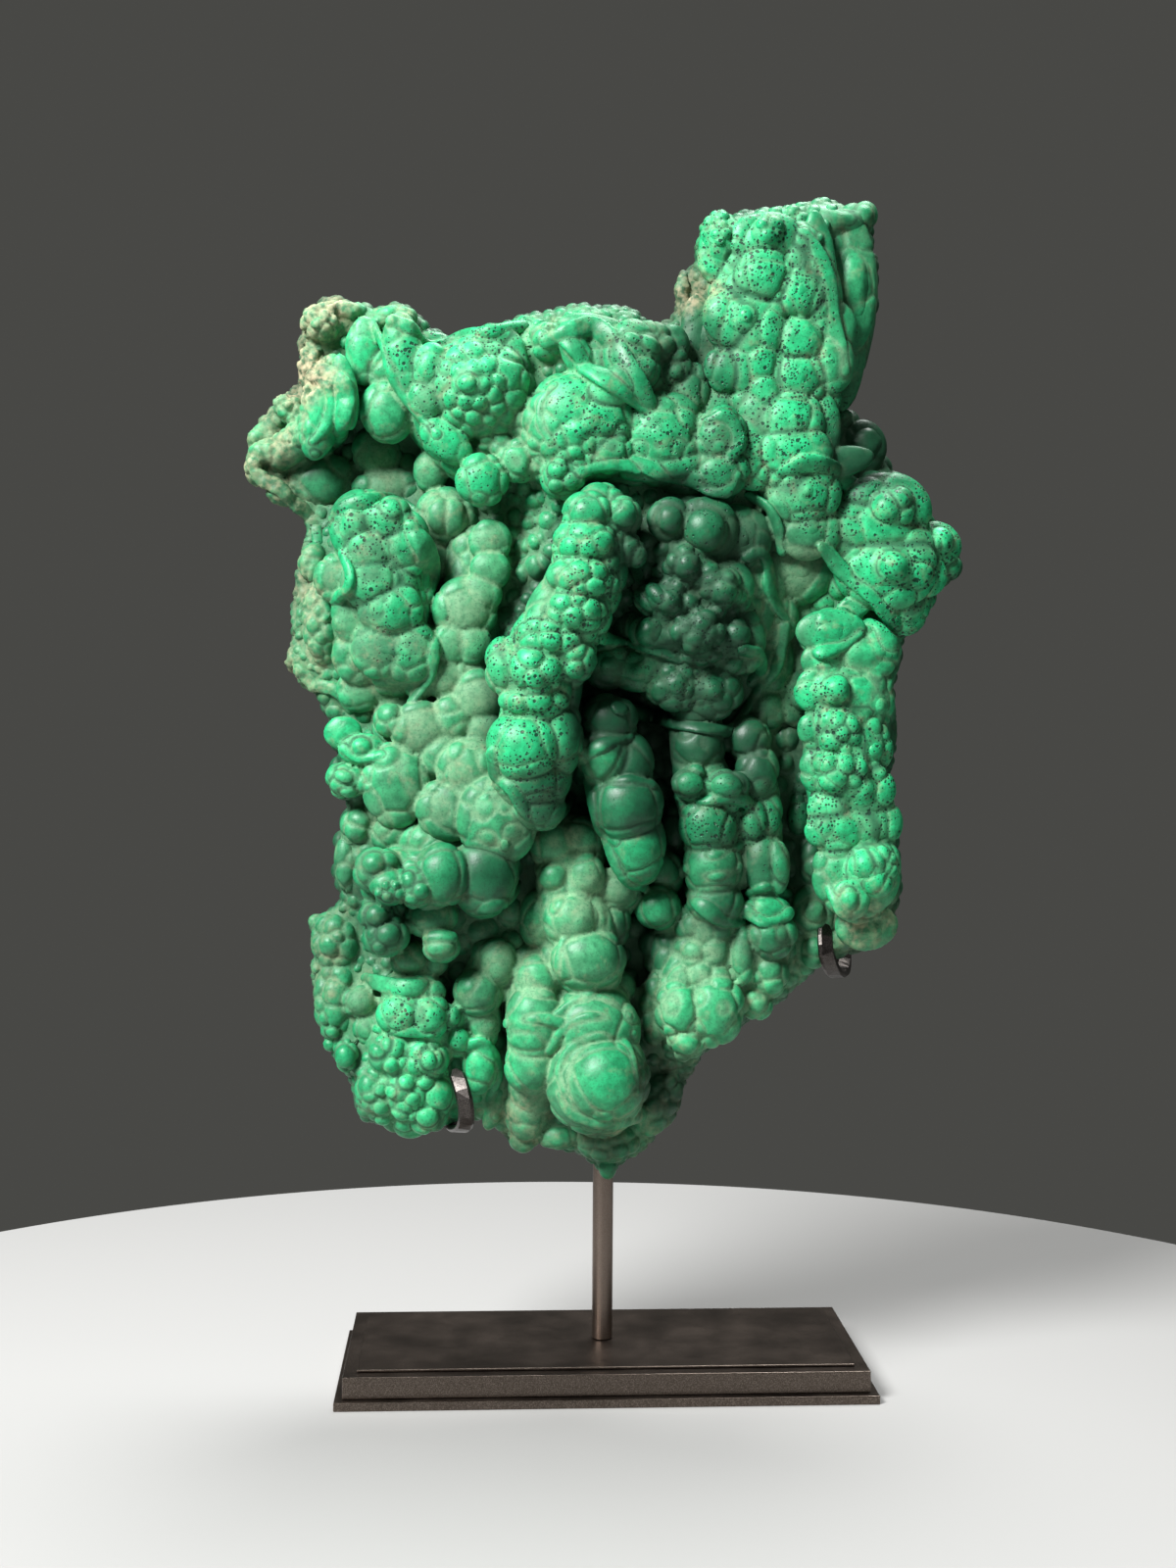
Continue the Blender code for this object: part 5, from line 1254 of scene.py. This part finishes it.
def general_face(tree):
    """Grid of how far forward the stone's face stands, smoothed over a couple of centimetres."""
    across = np.arange(FACE_LOW[0], FACE_HIGH[0], FACE_STEP)
    above = np.arange(FACE_LOW[1], FACE_HIGH[1], FACE_STEP)
    face = np.full((len(across), len(above)), np.nan)
    for column, side in enumerate(across):
        for row, height in enumerate(above):
            spot = tree.ray_cast(Vector((side, -0.2, height)), Vector((0.0, 1.0, 0.0)))[0]
            if spot is not None:
                face[column, row] = -spot.y
    known = ~np.isnan(face)
    total = np.where(known, face, 0.0)
    weight = known.astype(float)
    for _ in range(FACE_ROUNDS):
        for values in (total, weight):
            inner = values[1:-1, 1:-1] * 2 + values[:-2, 1:-1] + values[2:, 1:-1]
            values[1:-1, 1:-1] = (inner + values[1:-1, :-2] + values[1:-1, 2:]) / 6
    return total / np.maximum(weight, 1e-6)


def hollow_depth(points):
    """How far behind the general face each point lies, in metres."""
    face = STONE["face"]
    column = ((points[:, 0] - FACE_LOW[0]) / FACE_STEP).round().astype(int)
    row = ((points[:, 2] - FACE_LOW[1]) / FACE_STEP).round().astype(int)
    column = np.clip(column, 0, face.shape[0] - 1)
    row = np.clip(row, 0, face.shape[1] - 1)
    return face[column, row] + points[:, 1]


def depth_in_form(points):
    """How deep each point lies inside the form, in metres; less than nothing outside it."""
    tree = STONE["tree"]
    depth = np.zeros(len(points))
    for index, point in enumerate(points):
        found, normal, _, distance = tree.find_nearest(point)
        inside = (Vector(point) - found).dot(normal) < 0.0
        depth[index] = distance if inside else -distance
    return depth


def drop_folded_faces(model):
    """Remove faces that thinning has folded flat on one another."""
    mesh = bmesh.new()
    mesh.from_mesh(model.data)
    seen = {}
    for face in mesh.faces:
        seen.setdefault(frozenset(vertex.index for vertex in face.verts), []).append(face)
    folded = [face for faces in seen.values() if len(faces) > 1 for face in faces]
    bmesh.ops.delete(mesh, geom=folded, context="FACES")
    mesh.to_mesh(model.data)
    mesh.free()


def thin_hidden(model, settings):
    """Fewer faces where the mesh runs inside the stone, out of sight."""
    depth = depth_in_form(mesh_points(model))
    hidden = depth > settings.hidden_depth
    group = model.vertex_groups.new(name="hidden")
    group.add(np.nonzero(hidden)[0].tolist(), 1.0, "REPLACE")
    share = hidden.mean()
    reduce = model.modifiers.new("Fewer hidden faces", "DECIMATE")
    reduce.vertex_group = "hidden"
    reduce.vertex_group_factor = THIN_FIRST
    reduce.ratio = 1.0 - share * THINNED
    apply_modifier(model, reduce)
    model.vertex_groups.clear()
    drop_folded_faces(model)


def press_to_bubbles(model, bubbles, settings):
    """Move the skin onto the true bubbles, with a fillet and a fine groove where two meet."""
    points = mesh_points(model)
    narrow = bubbles.narrowest()
    most = PRESS_STEP * settings.grain
    for _ in range(PRESS_ROUNDS):
        gap, owner, normal = nearest_bubbles(points, bubbles, PRESS_SEARCH * settings.grain)
        near = np.abs(gap[0]) < PRESS_NEAR * settings.grain
        second = np.where(np.isfinite(gap[1]), gap[1], 1.0)
        least = np.minimum(narrow[owner[0]], narrow[owner[1]])
        fillet = np.clip(settings.fillet * least, *FILLET_LIMITS)
        share = np.clip(0.5 + 0.5 * (second - gap[0]) / fillet, 0.0, 1.0)
        level = second * (1.0 - share) + gap[0] * share - fillet * share * (1.0 - share)
        groove = np.clip(settings.groove * least, *GROOVE_LIMITS)
        level += groove * np.exp(-(second - gap[0]) / GROOVE_REACH)
        out = normal[1] * (1.0 - share)[:, None] + normal[0] * share[:, None]
        out /= np.linalg.norm(out, axis=1)[:, None] + TINY
        step = np.clip(level, -most, most)
        points[near] -= (out * step[:, None])[near]
    set_points(model, points)


def neighbour_mean(points, edges, rounds):
    """Points drawn towards the mean of their neighbours."""
    count = np.bincount(edges.ravel(), minlength=len(points))[:, None]
    for _ in range(rounds):
        total = np.zeros_like(points)
        for axis in range(points.shape[1]):
            total[:, axis] += np.bincount(edges[:, 0], points[edges[:, 1], axis], len(points))
            total[:, axis] += np.bincount(edges[:, 1], points[edges[:, 0], axis], len(points))
        points = 0.5 * points + 0.5 * total / np.maximum(count, 1)
    return points


def mesh_edges(model):
    edges = np.zeros(len(model.data.edges) * 2, dtype=np.int32)
    model.data.edges.foreach_get("vertices", edges)
    return edges.reshape(-1, 2)


def roughen(model, finish, settings):
    """Fine unevenness of the natural skin, and broken crumbly matrix where the finish is tan."""
    points = mesh_points(model)
    normals = mesh_normals(model)
    height = UNEVEN_HEIGHT * lattice_noise(points, UNEVEN_SPAN, 1)
    tan = finish[:, 2]
    broken = sum(share * lattice_noise(points, span, seed) for share, span, seed in MATRIX_WAVES)
    broken += MATRIX_RIDGES[0] * np.abs(lattice_noise(points, *MATRIX_RIDGES[1:]))
    height += settings.matrix_relief * tan * broken
    set_points(model, points + normals * height[:, None])


def add_attributes(model, bubbles, finish, plate_crease, plate_tone):
    """Per-point values that the stone's material reads."""
    points = mesh_points(model)
    normals = mesh_normals(model)
    edges = mesh_edges(model)
    soft = neighbour_mean(points, edges, 6)
    valley = np.einsum("ij,ij->i", soft - points, normals) / FULL_VALLEY
    wide = neighbour_mean(valley[:, None], edges, 2)[:, 0]
    gap, owner, _ = nearest_bubbles(points, bubbles, SKIN_REACH)
    tones = np.random.default_rng(TONE_SEED).uniform(-1.0, 1.0, len(bubbles.centre) + 1)
    narrow = bubbles.narrowest()
    least = np.minimum(narrow[owner[0]], narrow[owner[1]])
    apart = np.where(np.isfinite(gap[1]), gap[1] - gap[0], 1.0)
    crease = np.exp(-(apart / np.clip(CREASE_SHARE * least, *CREASE_LIMITS)) ** 2)
    crease = np.maximum(crease, PLATE_CREASE * plate_crease)
    hollow = neighbour_mean(hollow_depth(points)[:, None], edges, 4)[:, 0] / FULL_HOLLOW
    values = {
        "hollow": np.clip(hollow, -1.0, 1.5),
        "valley": np.clip(wide, -1.0, 1.0),
        "crease": crease,
        "tone": 0.5 * tones[owner[0]] + 0.7 * plate_tone,
        "fresh": finish[:, 0],
        "pits": finish[:, 1],
        "matrix": finish[:, 2],
        # deep carries the share of painted shade
        "deep": finish[:, 3],
    }
    for name, numbers in values.items():
        layer = model.data.attributes.new(name, "FLOAT", "POINT")
        layer.data.foreach_set("value", numbers.astype(np.float32))


def stone_finish(model, rear_too):
    """How fresh, pitted and tan each point is, and how much painted shade it gets, from what is stated near
    where it is seen.
    """
    points = mesh_points(model)
    finish = weighed(points, FINISH, 3, reach=30.0, power=1.8)
    # Share of painted shade at each point, from the table of shaded places
    deep = weighed(points, PAINTED_SHADE_PLACES, 1, reach=60.0)
    if rear_too:
        rear = np.clip((mesh_normals(model)[:, 1] - 0.1) * 3.0, 0.0, 1.0)[:, None]
        finish = finish * (1.0 - rear) + np.array(REAR_FINISH) * rear
        deep = deep * (1.0 - rear) + REAR_PAINTED_SHADE * rear
    return np.concatenate((finish, deep), axis=1)


def grow_part(context, growth):
    """One part of the stone as a closed mesh with its finish."""
    if "bubbles" not in STONE:
        raise RuntimeError("lay out the stone before growing its parts")
    settings = context.scene.malachite_stone
    everything = STONE["bubbles"]
    own = everything.only(growth)
    skin = bubble_mesh(own)
    if growth == CRUST:
        skin = together(skin, STONE["crust"])
    model = mesh_object(growth, *skin)
    grain = {CRUST: settings.crust_grain, HOLLOWS: settings.hollow_grain}.get(growth, settings.grain)
    grow_together(model, grain)
    thin_hidden(model, settings)
    press_to_bubbles(model, own, settings)
    finish = stone_finish(model, growth == CRUST)
    plates = divide_into_plates(model, everything, settings)
    roughen(model, finish, settings)
    add_attributes(model, everything, finish, *plates)
    model.data.materials.append(malachite_material(settings))
    model.data.shade_smooth()
    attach(model, "root")
    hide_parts("malachite")


class Nodes:
    """Short ways to add nodes to one material."""

    def __init__(self, material):
        self.tree = material.node_tree
        self.shader = self.tree.nodes["Principled BSDF"]

    def add(self, kind, **values):
        node = self.tree.nodes.new(kind)
        for name, value in values.items():
            setattr(node, name, value)
        return node

    def link(self, source, target):
        self.tree.links.new(source, target)

    def feed(self, socket, value):
        if isinstance(value, bpy.types.NodeSocket):
            self.link(value, socket)
        else:
            socket.default_value = value

    def attribute(self, name):
        return self.add("ShaderNodeAttribute", attribute_name=name).outputs["Fac"]

    def place(self):
        return self.add("ShaderNodeTexCoord").outputs["Object"]

    def noise(self, scale, detail=3.0, rough=0.55):
        node = self.add("ShaderNodeTexNoise")
        self.link(self.place(), node.inputs["Vector"])
        node.inputs["Scale"].default_value = scale
        node.inputs["Detail"].default_value = detail
        node.inputs["Roughness"].default_value = rough
        return node.outputs["Fac"]

    def maths(self, operation, first, second=0.0, third=0.0, clamp=False):
        node = self.add("ShaderNodeMath", operation=operation, use_clamp=clamp)
        for socket, value in zip(node.inputs, (first, second, third)):
            self.feed(socket, value)
        return node.outputs[0]

    def ramp(self, value, low, high, start=0.0, end=1.0):
        node = self.add("ShaderNodeMapRange", clamp=True)
        self.feed(node.inputs["Value"], value)
        for name, number in (("From Min", low), ("From Max", high), ("To Min", start), ("To Max", end)):
            node.inputs[name].default_value = number
        return node.outputs["Result"]

    def mix(self, share, first, second):
        node = self.add("ShaderNodeMix", data_type="RGBA")
        self.feed(node.inputs["Factor"], share)
        self.feed(node.inputs["A"], first)
        self.feed(node.inputs["B"], second)
        return node.outputs["Result"]

    def bump(self, height, distance, strength):
        node = self.add("ShaderNodeBump")
        node.inputs["Distance"].default_value = distance
        node.inputs["Strength"].default_value = strength
        self.link(height, node.inputs["Height"])
        return node.outputs["Normal"]


def colour(values):
    return (*values, 1.0)


def new_material(name):
    material = bpy.data.materials.new(name)
    material.use_nodes = True
    return material, Nodes(material)


def malachite_material(settings):
    """Bright or dull green skin, pale dust in its creases, black pits and tan matrix, with painted shade
    along the creases, in the hollows and at stated shaded places.
    """
    name = "malachite_skin"
    if name in bpy.data.materials:
        return bpy.data.materials[name]
    material, nodes = new_material(name)
    valley = nodes.attribute("valley")
    crease = nodes.attribute("crease")
    cloud = nodes.noise(70.0)
    blotch = nodes.noise(260.0)
    fine = nodes.noise(1300.0, 2.0)
    fresh = nodes.maths("MULTIPLY_ADD", nodes.maths("SUBTRACT", cloud, 0.5), 0.75, nodes.attribute("fresh"))
    fresh = nodes.maths("MULTIPLY_ADD", nodes.attribute("tone"), 0.13, fresh)
    fresh = nodes.maths("ADD", fresh, nodes.ramp(valley, 0.0, -0.9, 0.0, 0.2))
    hollow = nodes.attribute("hollow")
    fresh = nodes.maths("ADD", fresh, nodes.ramp(hollow, -0.6, 0.6, 0.15, -0.15), clamp=True)
    dull = nodes.mix(nodes.ramp(blotch, 0.3, 0.7), colour(settings.dull_dark), colour(settings.dull_green))
    bright = nodes.mix(nodes.ramp(blotch, 0.35, 0.65), colour(settings.fresh_deep),
                       colour(settings.fresh_green))
    skin = nodes.mix(fresh, dull, bright)
    powder = nodes.maths("MAXIMUM", crease, nodes.ramp(valley, 0.35, 1.0, 0.0, 0.8))
    dust = nodes.maths("MULTIPLY", powder, nodes.ramp(nodes.noise(500.0), 0.3, 0.62, 0.35, 1.0))
    dust = nodes.maths("MULTIPLY", dust, nodes.ramp(fresh, 0.2, 0.8, 0.85, 0.5))
    skin = nodes.mix(dust, skin, colour(settings.dust))
    # Painted shade: a dark line along the creases, strongest on fresh skin
    painted_crease_shade = nodes.maths("MULTIPLY", nodes.ramp(crease, 0.55, 0.95), nodes.ramp(fresh, 0.3, 0.8, 0.15, 0.8))
    skin = nodes.mix(painted_crease_shade, skin, colour(settings.crease_shade_and_speckle))
    speckle = nodes.ramp(nodes.noise(1100.0, 2.0, 0.7), 0.52, 0.68, 0.0, 0.45)
    skin = nodes.mix(speckle, skin, colour(settings.crease_shade_and_speckle))
    pits = nodes.attribute("pits")
    hole = black_pits(nodes, pits)
    skin = nodes.mix(nodes.maths("MULTIPLY", hole, 0.92), skin, colour(settings.pit_black))
    tan = nodes.mix(nodes.ramp(nodes.noise(420.0), 0.4, 0.62), colour(settings.tan_light),
                    colour(settings.tan_dark))
    patch = nodes.ramp(nodes.noise(150.0), 0.3, 0.7, -0.45, 0.25)
    patch = nodes.maths("ADD", nodes.attribute("matrix"), patch, clamp=True)
    skin = nodes.mix(patch, skin, tan)
    # Painted shade: darker deep in the hollows and at the stated shaded places
    depth = nodes.ramp(hollow, 0.15, 0.95, 0.0, 0.8)
    depth = nodes.maths("MAXIMUM", depth, nodes.ramp(nodes.attribute("deep"), 0.06, 0.52, 0.0, 0.88))
    skin = nodes.mix(depth, skin, colour(settings.hollow_painted_shade))
    nodes.link(skin, nodes.shader.inputs["Base Color"])
    rough = nodes.maths("MULTIPLY_ADD", powder, 0.35, nodes.ramp(fresh, 0.0, 0.8, 0.48, 0.44))
    rough = nodes.maths("MULTIPLY_ADD", patch, 0.3, rough)
    rough = nodes.maths("MULTIPLY_ADD", nodes.maths("SUBTRACT", cloud, 0.5), 0.25, rough, clamp=True)
    nodes.link(rough, nodes.shader.inputs["Roughness"])
    sink = nodes.maths("MULTIPLY_ADD", hole, -1.0, nodes.maths("MULTIPLY", fine, 0.22))
    nodes.link(nodes.bump(sink, 0.0004, 0.8), nodes.shader.inputs["Normal"])
    nodes.shader.inputs["Specular IOR Level"].default_value = 0.38
    return material


def black_pits(nodes, pits):
    """Round pits, coarse and fine, at some of each pattern's cells only."""
    layers = []
    for scale, least, most in ((420.0, 0.14, 0.34), (850.0, 0.20, 0.42)):
        cell = nodes.add("ShaderNodeTexVoronoi")
        nodes.link(nodes.place(), cell.inputs["Vector"])
        cell.inputs["Scale"].default_value = scale
        parts = nodes.add("ShaderNodeSeparateColor")
        nodes.link(cell.outputs["Color"], parts.inputs["Color"])
        size = nodes.ramp(parts.outputs["Red"], 0.2, 1.0, least, most)
        size = nodes.maths("MULTIPLY", size, nodes.ramp(parts.outputs["Green"], 0.22, 0.32))
        size = nodes.maths("MULTIPLY", size, nodes.ramp(nodes.noise(120.0), 0.36, 0.5, 0.4, 1.0))
        size = nodes.maths("MULTIPLY", size, nodes.ramp(pits, 0.02, 0.6))
        layers.append(nodes.ramp(nodes.maths("SUBTRACT", size, cell.outputs["Distance"]), -0.06, 0.03))
    return nodes.maths("MAXIMUM", *layers)


def bronze_material(name, base, light, rough):
    """Sprayed bronze: tiny light and dark flecks in a satin coat."""
    material, nodes = new_material(name)
    fleck = nodes.ramp(nodes.noise(2600.0, 2.0, 0.7), 0.45, 0.68)
    cloud = nodes.noise(60.0)
    coat = nodes.mix(nodes.maths("MULTIPLY", fleck, 0.75), colour(base), colour(light))
    nodes.link(coat, nodes.shader.inputs["Base Color"])
    nodes.link(nodes.ramp(cloud, 0.3, 0.7, rough - 0.05, rough + 0.07), nodes.shader.inputs["Roughness"])
    nodes.shader.inputs["Metallic"].default_value = 1.0
    nodes.link(nodes.bump(nodes.noise(1800.0, 2.0), 0.00008, 0.5), nodes.shader.inputs["Normal"])
    return material


def plain_material(name, base, rough):
    material, nodes = new_material(name)
    nodes.shader.inputs["Base Color"].default_value = colour(base)
    nodes.shader.inputs["Roughness"].default_value = rough
    return material


def a_length(name, description, default):
    return FloatProperty(name=name, description=description, default=default, unit="LENGTH",
                         subtype="DISTANCE")


def a_share(name, description, default):
    return FloatProperty(name=name, description=description, default=default)


def a_power(name, description, default):
    return FloatProperty(name=name, description=description, default=default, unit="POWER")


def a_colour(name, description, default):
    return FloatVectorProperty(name=name, description=description, default=default, size=3,
                               subtype="COLOR")


class StoneSettings(bpy.types.PropertyGroup):
    """Sizes and colours of the stone."""

    grain: a_length("Grain", "Voxel at which bubbles grow together", 0.00080)
    crust_grain: a_length("Crust grain", "Voxel of the crust's rear", 0.0018)
    hollow_grain: a_length("Hollow grain", "Voxel of the small bubbles in the hollows", 0.00098)
    form_grain: a_length("Form grain", "Voxel of the form under the bubbles", 0.0016)
    press_in: a_length("Press in", "How far the crust lies under the lobes", 0.0012)
    hidden_depth: a_length("Hidden depth", "Depth past which faces are thinned", 0.0014)
    fillet: a_share("Crease fillet", "Fillet of a crease over its bubble's radius", 0.15)
    groove: a_share("Groove", "Depth of the fine groove over the bubble's radius", 0.10)
    lobe_reach: a_length("Lobe reach", "How near a lobe a spot counts as on it", 0.0018)
    matrix_relief: a_length("Matrix relief", "Depth of the crumbly matrix", 0.0016)
    spacing: a_share("Spacing", "Least distance of bubbles over their radii", 0.58)
    rise: a_share("Rise", "Share of a bubble's radius that stands out", 0.36)
    plate_spacing: a_share("Plate spacing", "Least distance of plates over their radii", 0.80)
    plate_groove: a_length("Plate groove", "Depth of the crease between two plates", 0.00040)
    plate_step: a_length("Plate step", "How far one plate stands out past the next", 0.00018)
    crease_width: a_length("Crease width", "Width of the crease between two plates", 0.0014)
    bubble_scale: a_share("Bubble scale", "Scale of all the small bubbles", 1.45)
    bubble_tries: IntProperty(name="Bubble tries", description="Spots tried for small bubbles",
                              default=150000)
    seed: IntProperty(name="Seed", description="Starts the random draws", default=11)
    fresh_green: a_colour("Fresh green", "Bright outer skin", (0.022, 0.52, 0.20))
    fresh_deep: a_colour("Deep green", "Deeper patches of bright skin", (0.010, 0.30, 0.11))
    dull_green: a_colour("Dull green", "Skin down in the hollows", (0.075, 0.26, 0.125))
    dull_dark: a_colour("Dull dark green", "Darker hollow skin", (0.030, 0.145, 0.066))
    # Painted shade for the deep hollows and the stated shaded places
    hollow_painted_shade: a_colour("Hollow dark", "Dirt in the deep hollows", (0.003, 0.030, 0.014))
    dust: a_colour("Dust", "Pale powder in the creases", (0.24, 0.44, 0.24))
    # Painted shade along the creases, also the colour of the dark speckles
    crease_shade_and_speckle: a_colour("Crease", "Dark line along the creases", (0.012, 0.10, 0.045))
    pit_black: a_colour("Pits", "Black pits", (0.003, 0.028, 0.016))
    tan_light: a_colour("Light matrix", "Pale crumbly matrix", (0.46, 0.40, 0.25))
    tan_dark: a_colour("Dark matrix", "Green-brown matrix", (0.07, 0.13, 0.065))


class StandSettings(bpy.types.PropertyGroup):
    """Colours of the stand."""

    base: a_colour("Base bronze", "Coat of the base", (0.085, 0.068, 0.056))
    base_fleck: a_colour("Base flecks", "Light flecks", (0.26, 0.215, 0.185))
    stem: a_colour("Stem bronze", "Coat of the stem", (0.19, 0.15, 0.125))
    hook: a_colour("Hook metal", "Dark metal of the hooks", (0.045, 0.040, 0.037))
    hook_fleck: a_colour("Hook flecks", "Light flecks of the hooks", (0.15, 0.135, 0.125))


class StageSettings(bpy.types.PropertyGroup):
    """The table, the light and the background."""

    table_radius: a_length("Table radius", "Radius of the round table top", 0.427)
    table_colour: a_colour("Table", "Pale table top", (0.35, 0.35, 0.343))
    backdrop: a_colour("Background", "Plain background", (0.065, 0.065, 0.06))
    key_power: a_power("Key light", "Power of the soft light at the left", 145.0)
    top_power: a_power("Top light", "Power of the weak light above", 28.0)
    fill_power: a_power("Fill light", "Power of the weak light at the right", 0.6)


class MALACHITE_OT_lay_out(bpy.types.Operator):
    """Place every bubble of the stone on its form"""

    bl_idname = "malachite.lay_out"
    bl_label = "Lay Out Bubbles"

    def execute(self, context):
        lay_out_stone(context.scene.malachite_stone)
        return {"FINISHED"}


class MALACHITE_OT_crust(bpy.types.Operator):
    """Grow the crust that carries all the rest, with its broken rear"""

    bl_idname = "malachite.crust"
    bl_label = "Crust"

    def execute(self, context):
        grow_part(context, CRUST)
        return {"FINISHED"}


class MALACHITE_OT_hollows(bpy.types.Operator):
    """Grow the small bubbles that line the bare crust between the lobes"""

    bl_idname = "malachite.hollows"
    bl_label = "Bubbles in the Hollows"

    def execute(self, context):
        grow_part(context, HOLLOWS)
        return {"FINISHED"}


class MALACHITE_OT_upper(bpy.types.Operator):
    """Grow the upper left rim, the speckled patch and the petals"""

    bl_idname = "malachite.upper"
    bl_label = "Upper Growth"

    def execute(self, context):
        grow_part(context, "upper_growth")
        return {"FINISHED"}


class MALACHITE_OT_right(bpy.types.Operator):
    """Grow the right column, the block and the right finger"""

    bl_idname = "malachite.right"
    bl_label = "Right Growth"

    def execute(self, context):
        grow_part(context, "right_growth")
        return {"FINISHED"}


class MALACHITE_OT_hood(bpy.types.Operator):
    """Grow the hood over the hollow and the lobes beside it"""

    bl_idname = "malachite.hood"
    bl_label = "Hood"

    def execute(self, context):
        grow_part(context, "hood_growth")
        return {"FINISHED"}


class MALACHITE_OT_fingers(bpy.types.Operator):
    """Grow the hanging fingers in the middle"""

    bl_idname = "malachite.fingers"
    bl_label = "Fingers"

    def execute(self, context):
        grow_part(context, "finger_growth")
        return {"FINISHED"}


class MALACHITE_OT_left(bpy.types.Operator):
    """Grow the left block and the dull slope beside it"""

    bl_idname = "malachite.left"
    bl_label = "Left Growth"

    def execute(self, context):
        grow_part(context, "left_growth")
        return {"FINISHED"}


class MALACHITE_OT_lower(bpy.types.Operator):
    """Grow the lobes along the bottom"""

    bl_idname = "malachite.lower"
    bl_label = "Lower Growth"

    def execute(self, context):
        grow_part(context, "lower_growth")
        return {"FINISHED"}


class MALACHITE_OT_stand(bpy.types.Operator):
    """Finish the base, the stem and the hooks"""

    bl_idname = "malachite.stand"
    bl_label = "Stand Finish"

    def execute(self, context):
        settings = context.scene.malachite_stand
        base = bronze_material("base_bronze", settings.base, settings.base_fleck, 0.36)
        stem = bronze_material("stem_bronze", settings.stem, settings.base_fleck, 0.36)
        hook = bronze_material("hook_metal", settings.hook, settings.hook_fleck, 0.34)
        finishes = {
            "base_foot_plate": base, "base_block": base, "base_top_plate": base, "stem": stem,
            "left_hook_arm": hook, "right_hook_arm": hook,
        }
        for node, material in finishes.items():
            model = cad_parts[node]
            if not model.material_slots:
                raise RuntimeError(f"{node} has no material slot")
            for material_slot in model.material_slots:
                material_slot.material = material
        return {"FINISHED"}


class MALACHITE_OT_stage(bpy.types.Operator):
    """Add the round table, the soft light, the background and the camera"""

    bl_idname = "malachite.stage"
    bl_label = "Stage"

    def execute(self, context):
        settings = context.scene.malachite_stage
        add_table(settings)
        add_lights(settings)
        add_background(settings)
        add_camera()
        context.scene.view_settings.view_transform = "Standard"
        return {"FINISHED"}


def add_table(settings):
    """Round pale table top under the stand."""
    deselect()
    thickness = 0.02
    middle = (-0.0188, -0.1189, -thickness / 2)
    bpy.ops.mesh.primitive_cylinder_add(vertices=256, radius=settings.table_radius, depth=thickness,
                                        location=middle)
    table = bpy.context.active_object
    table.name = "table_top"
    bpy.ops.object.transform_apply(location=True, rotation=True, scale=True)
    bevel = table.modifiers.new("Rounded edge", "BEVEL")
    bevel.width = 0.003
    bevel.segments = 3
    apply_modifier(table, bevel)
    bpy.ops.object.shade_smooth_by_angle(angle=math.radians(30))
    table.data.materials.append(plain_material("table_white", settings.table_colour, 0.5))


def add_area_light(name, position, target, size, power):
    data = bpy.data.lights.new(name, "AREA")
    data.shape = "DISK"
    data.size = size
    data.energy = power
    light = bpy.data.objects.new(name, data)
    light.location = position
    light.rotation_euler = (Vector(target) - Vector(position)).to_track_quat("-Z", "Y").to_euler()
    bpy.context.scene.collection.objects.link(light)


def add_lights(settings):
    middle = (0.0, 0.0, 0.25)
    add_area_light("key_light", (-1.31, -1.18, 1.74), middle, 0.90, settings.key_power)
    add_area_light("top_light", (0.25, 0.35, 1.6), (0.1, 0.1, 0.0), 0.8, settings.top_power)
    add_area_light("fill_light", (1.0, -0.9, 0.5), middle, 0.9, settings.fill_power)


def add_background(settings):
    world = bpy.data.worlds.new("plain_background")
    world.use_nodes = True
    world.node_tree.nodes["Background"].inputs["Color"].default_value = colour(settings.backdrop)
    world.node_tree.nodes["Background"].inputs["Strength"].default_value = 1.0
    bpy.context.scene.world = world


def add_camera():
    data = bpy.data.cameras.new("camera")
    data.sensor_width = SENSOR
    data.lens = FOCAL * SENSOR / PICTURE_HEIGHT
    data.clip_start = 0.01
    camera = bpy.data.objects.new("camera", data)
    axes = Matrix((RIGHT, UP, BACK)).transposed()
    camera.matrix_world = Matrix.Translation(EYE) @ axes.to_4x4()
    bpy.context.scene.collection.objects.link(camera)
    bpy.context.scene.camera = camera


STEPS = ("lay_out", "crust", "hollows", "upper", "right", "hood", "fingers", "left", "lower", "stand",
         "stage")


class MALACHITE_PT_panel(bpy.types.Panel):
    """Buttons that build the specimen in order"""

    bl_idname = "MALACHITE_PT_panel"
    bl_label = "Malachite on a Stand"
    bl_space_type = "VIEW_3D"
    bl_region_type = "UI"
    bl_category = "Malachite"

    def draw(self, context):
        column = self.layout.column()
        for step in STEPS:
            column.operator("malachite." + step)
        for group in ("malachite_stone", "malachite_stand", "malachite_stage"):
            settings = getattr(context.scene, group)
            for name in settings.bl_rna.properties.keys():
                if name not in ("rna_type", "name"):
                    column.prop(settings, name)


CLASSES = (
    StoneSettings, StandSettings, StageSettings, MALACHITE_OT_lay_out, MALACHITE_OT_crust,
    MALACHITE_OT_hollows, MALACHITE_OT_upper, MALACHITE_OT_right, MALACHITE_OT_hood,
    MALACHITE_OT_fingers, MALACHITE_OT_left, MALACHITE_OT_lower, MALACHITE_OT_stand,
    MALACHITE_OT_stage, MALACHITE_PT_panel,
)


def register():
    for item in CLASSES:
        bpy.utils.register_class(item)
    bpy.types.Scene.malachite_stone = PointerProperty(type=StoneSettings)
    bpy.types.Scene.malachite_stand = PointerProperty(type=StandSettings)
    bpy.types.Scene.malachite_stage = PointerProperty(type=StageSettings)


def unregister():
    del bpy.types.Scene.malachite_stage
    del bpy.types.Scene.malachite_stand
    del bpy.types.Scene.malachite_stone
    for item in reversed(CLASSES):
        bpy.utils.unregister_class(item)


def main():
    register()
    for step in STEPS:
        getattr(bpy.ops.malachite, step)()


if __name__ == "__main__":
    main()
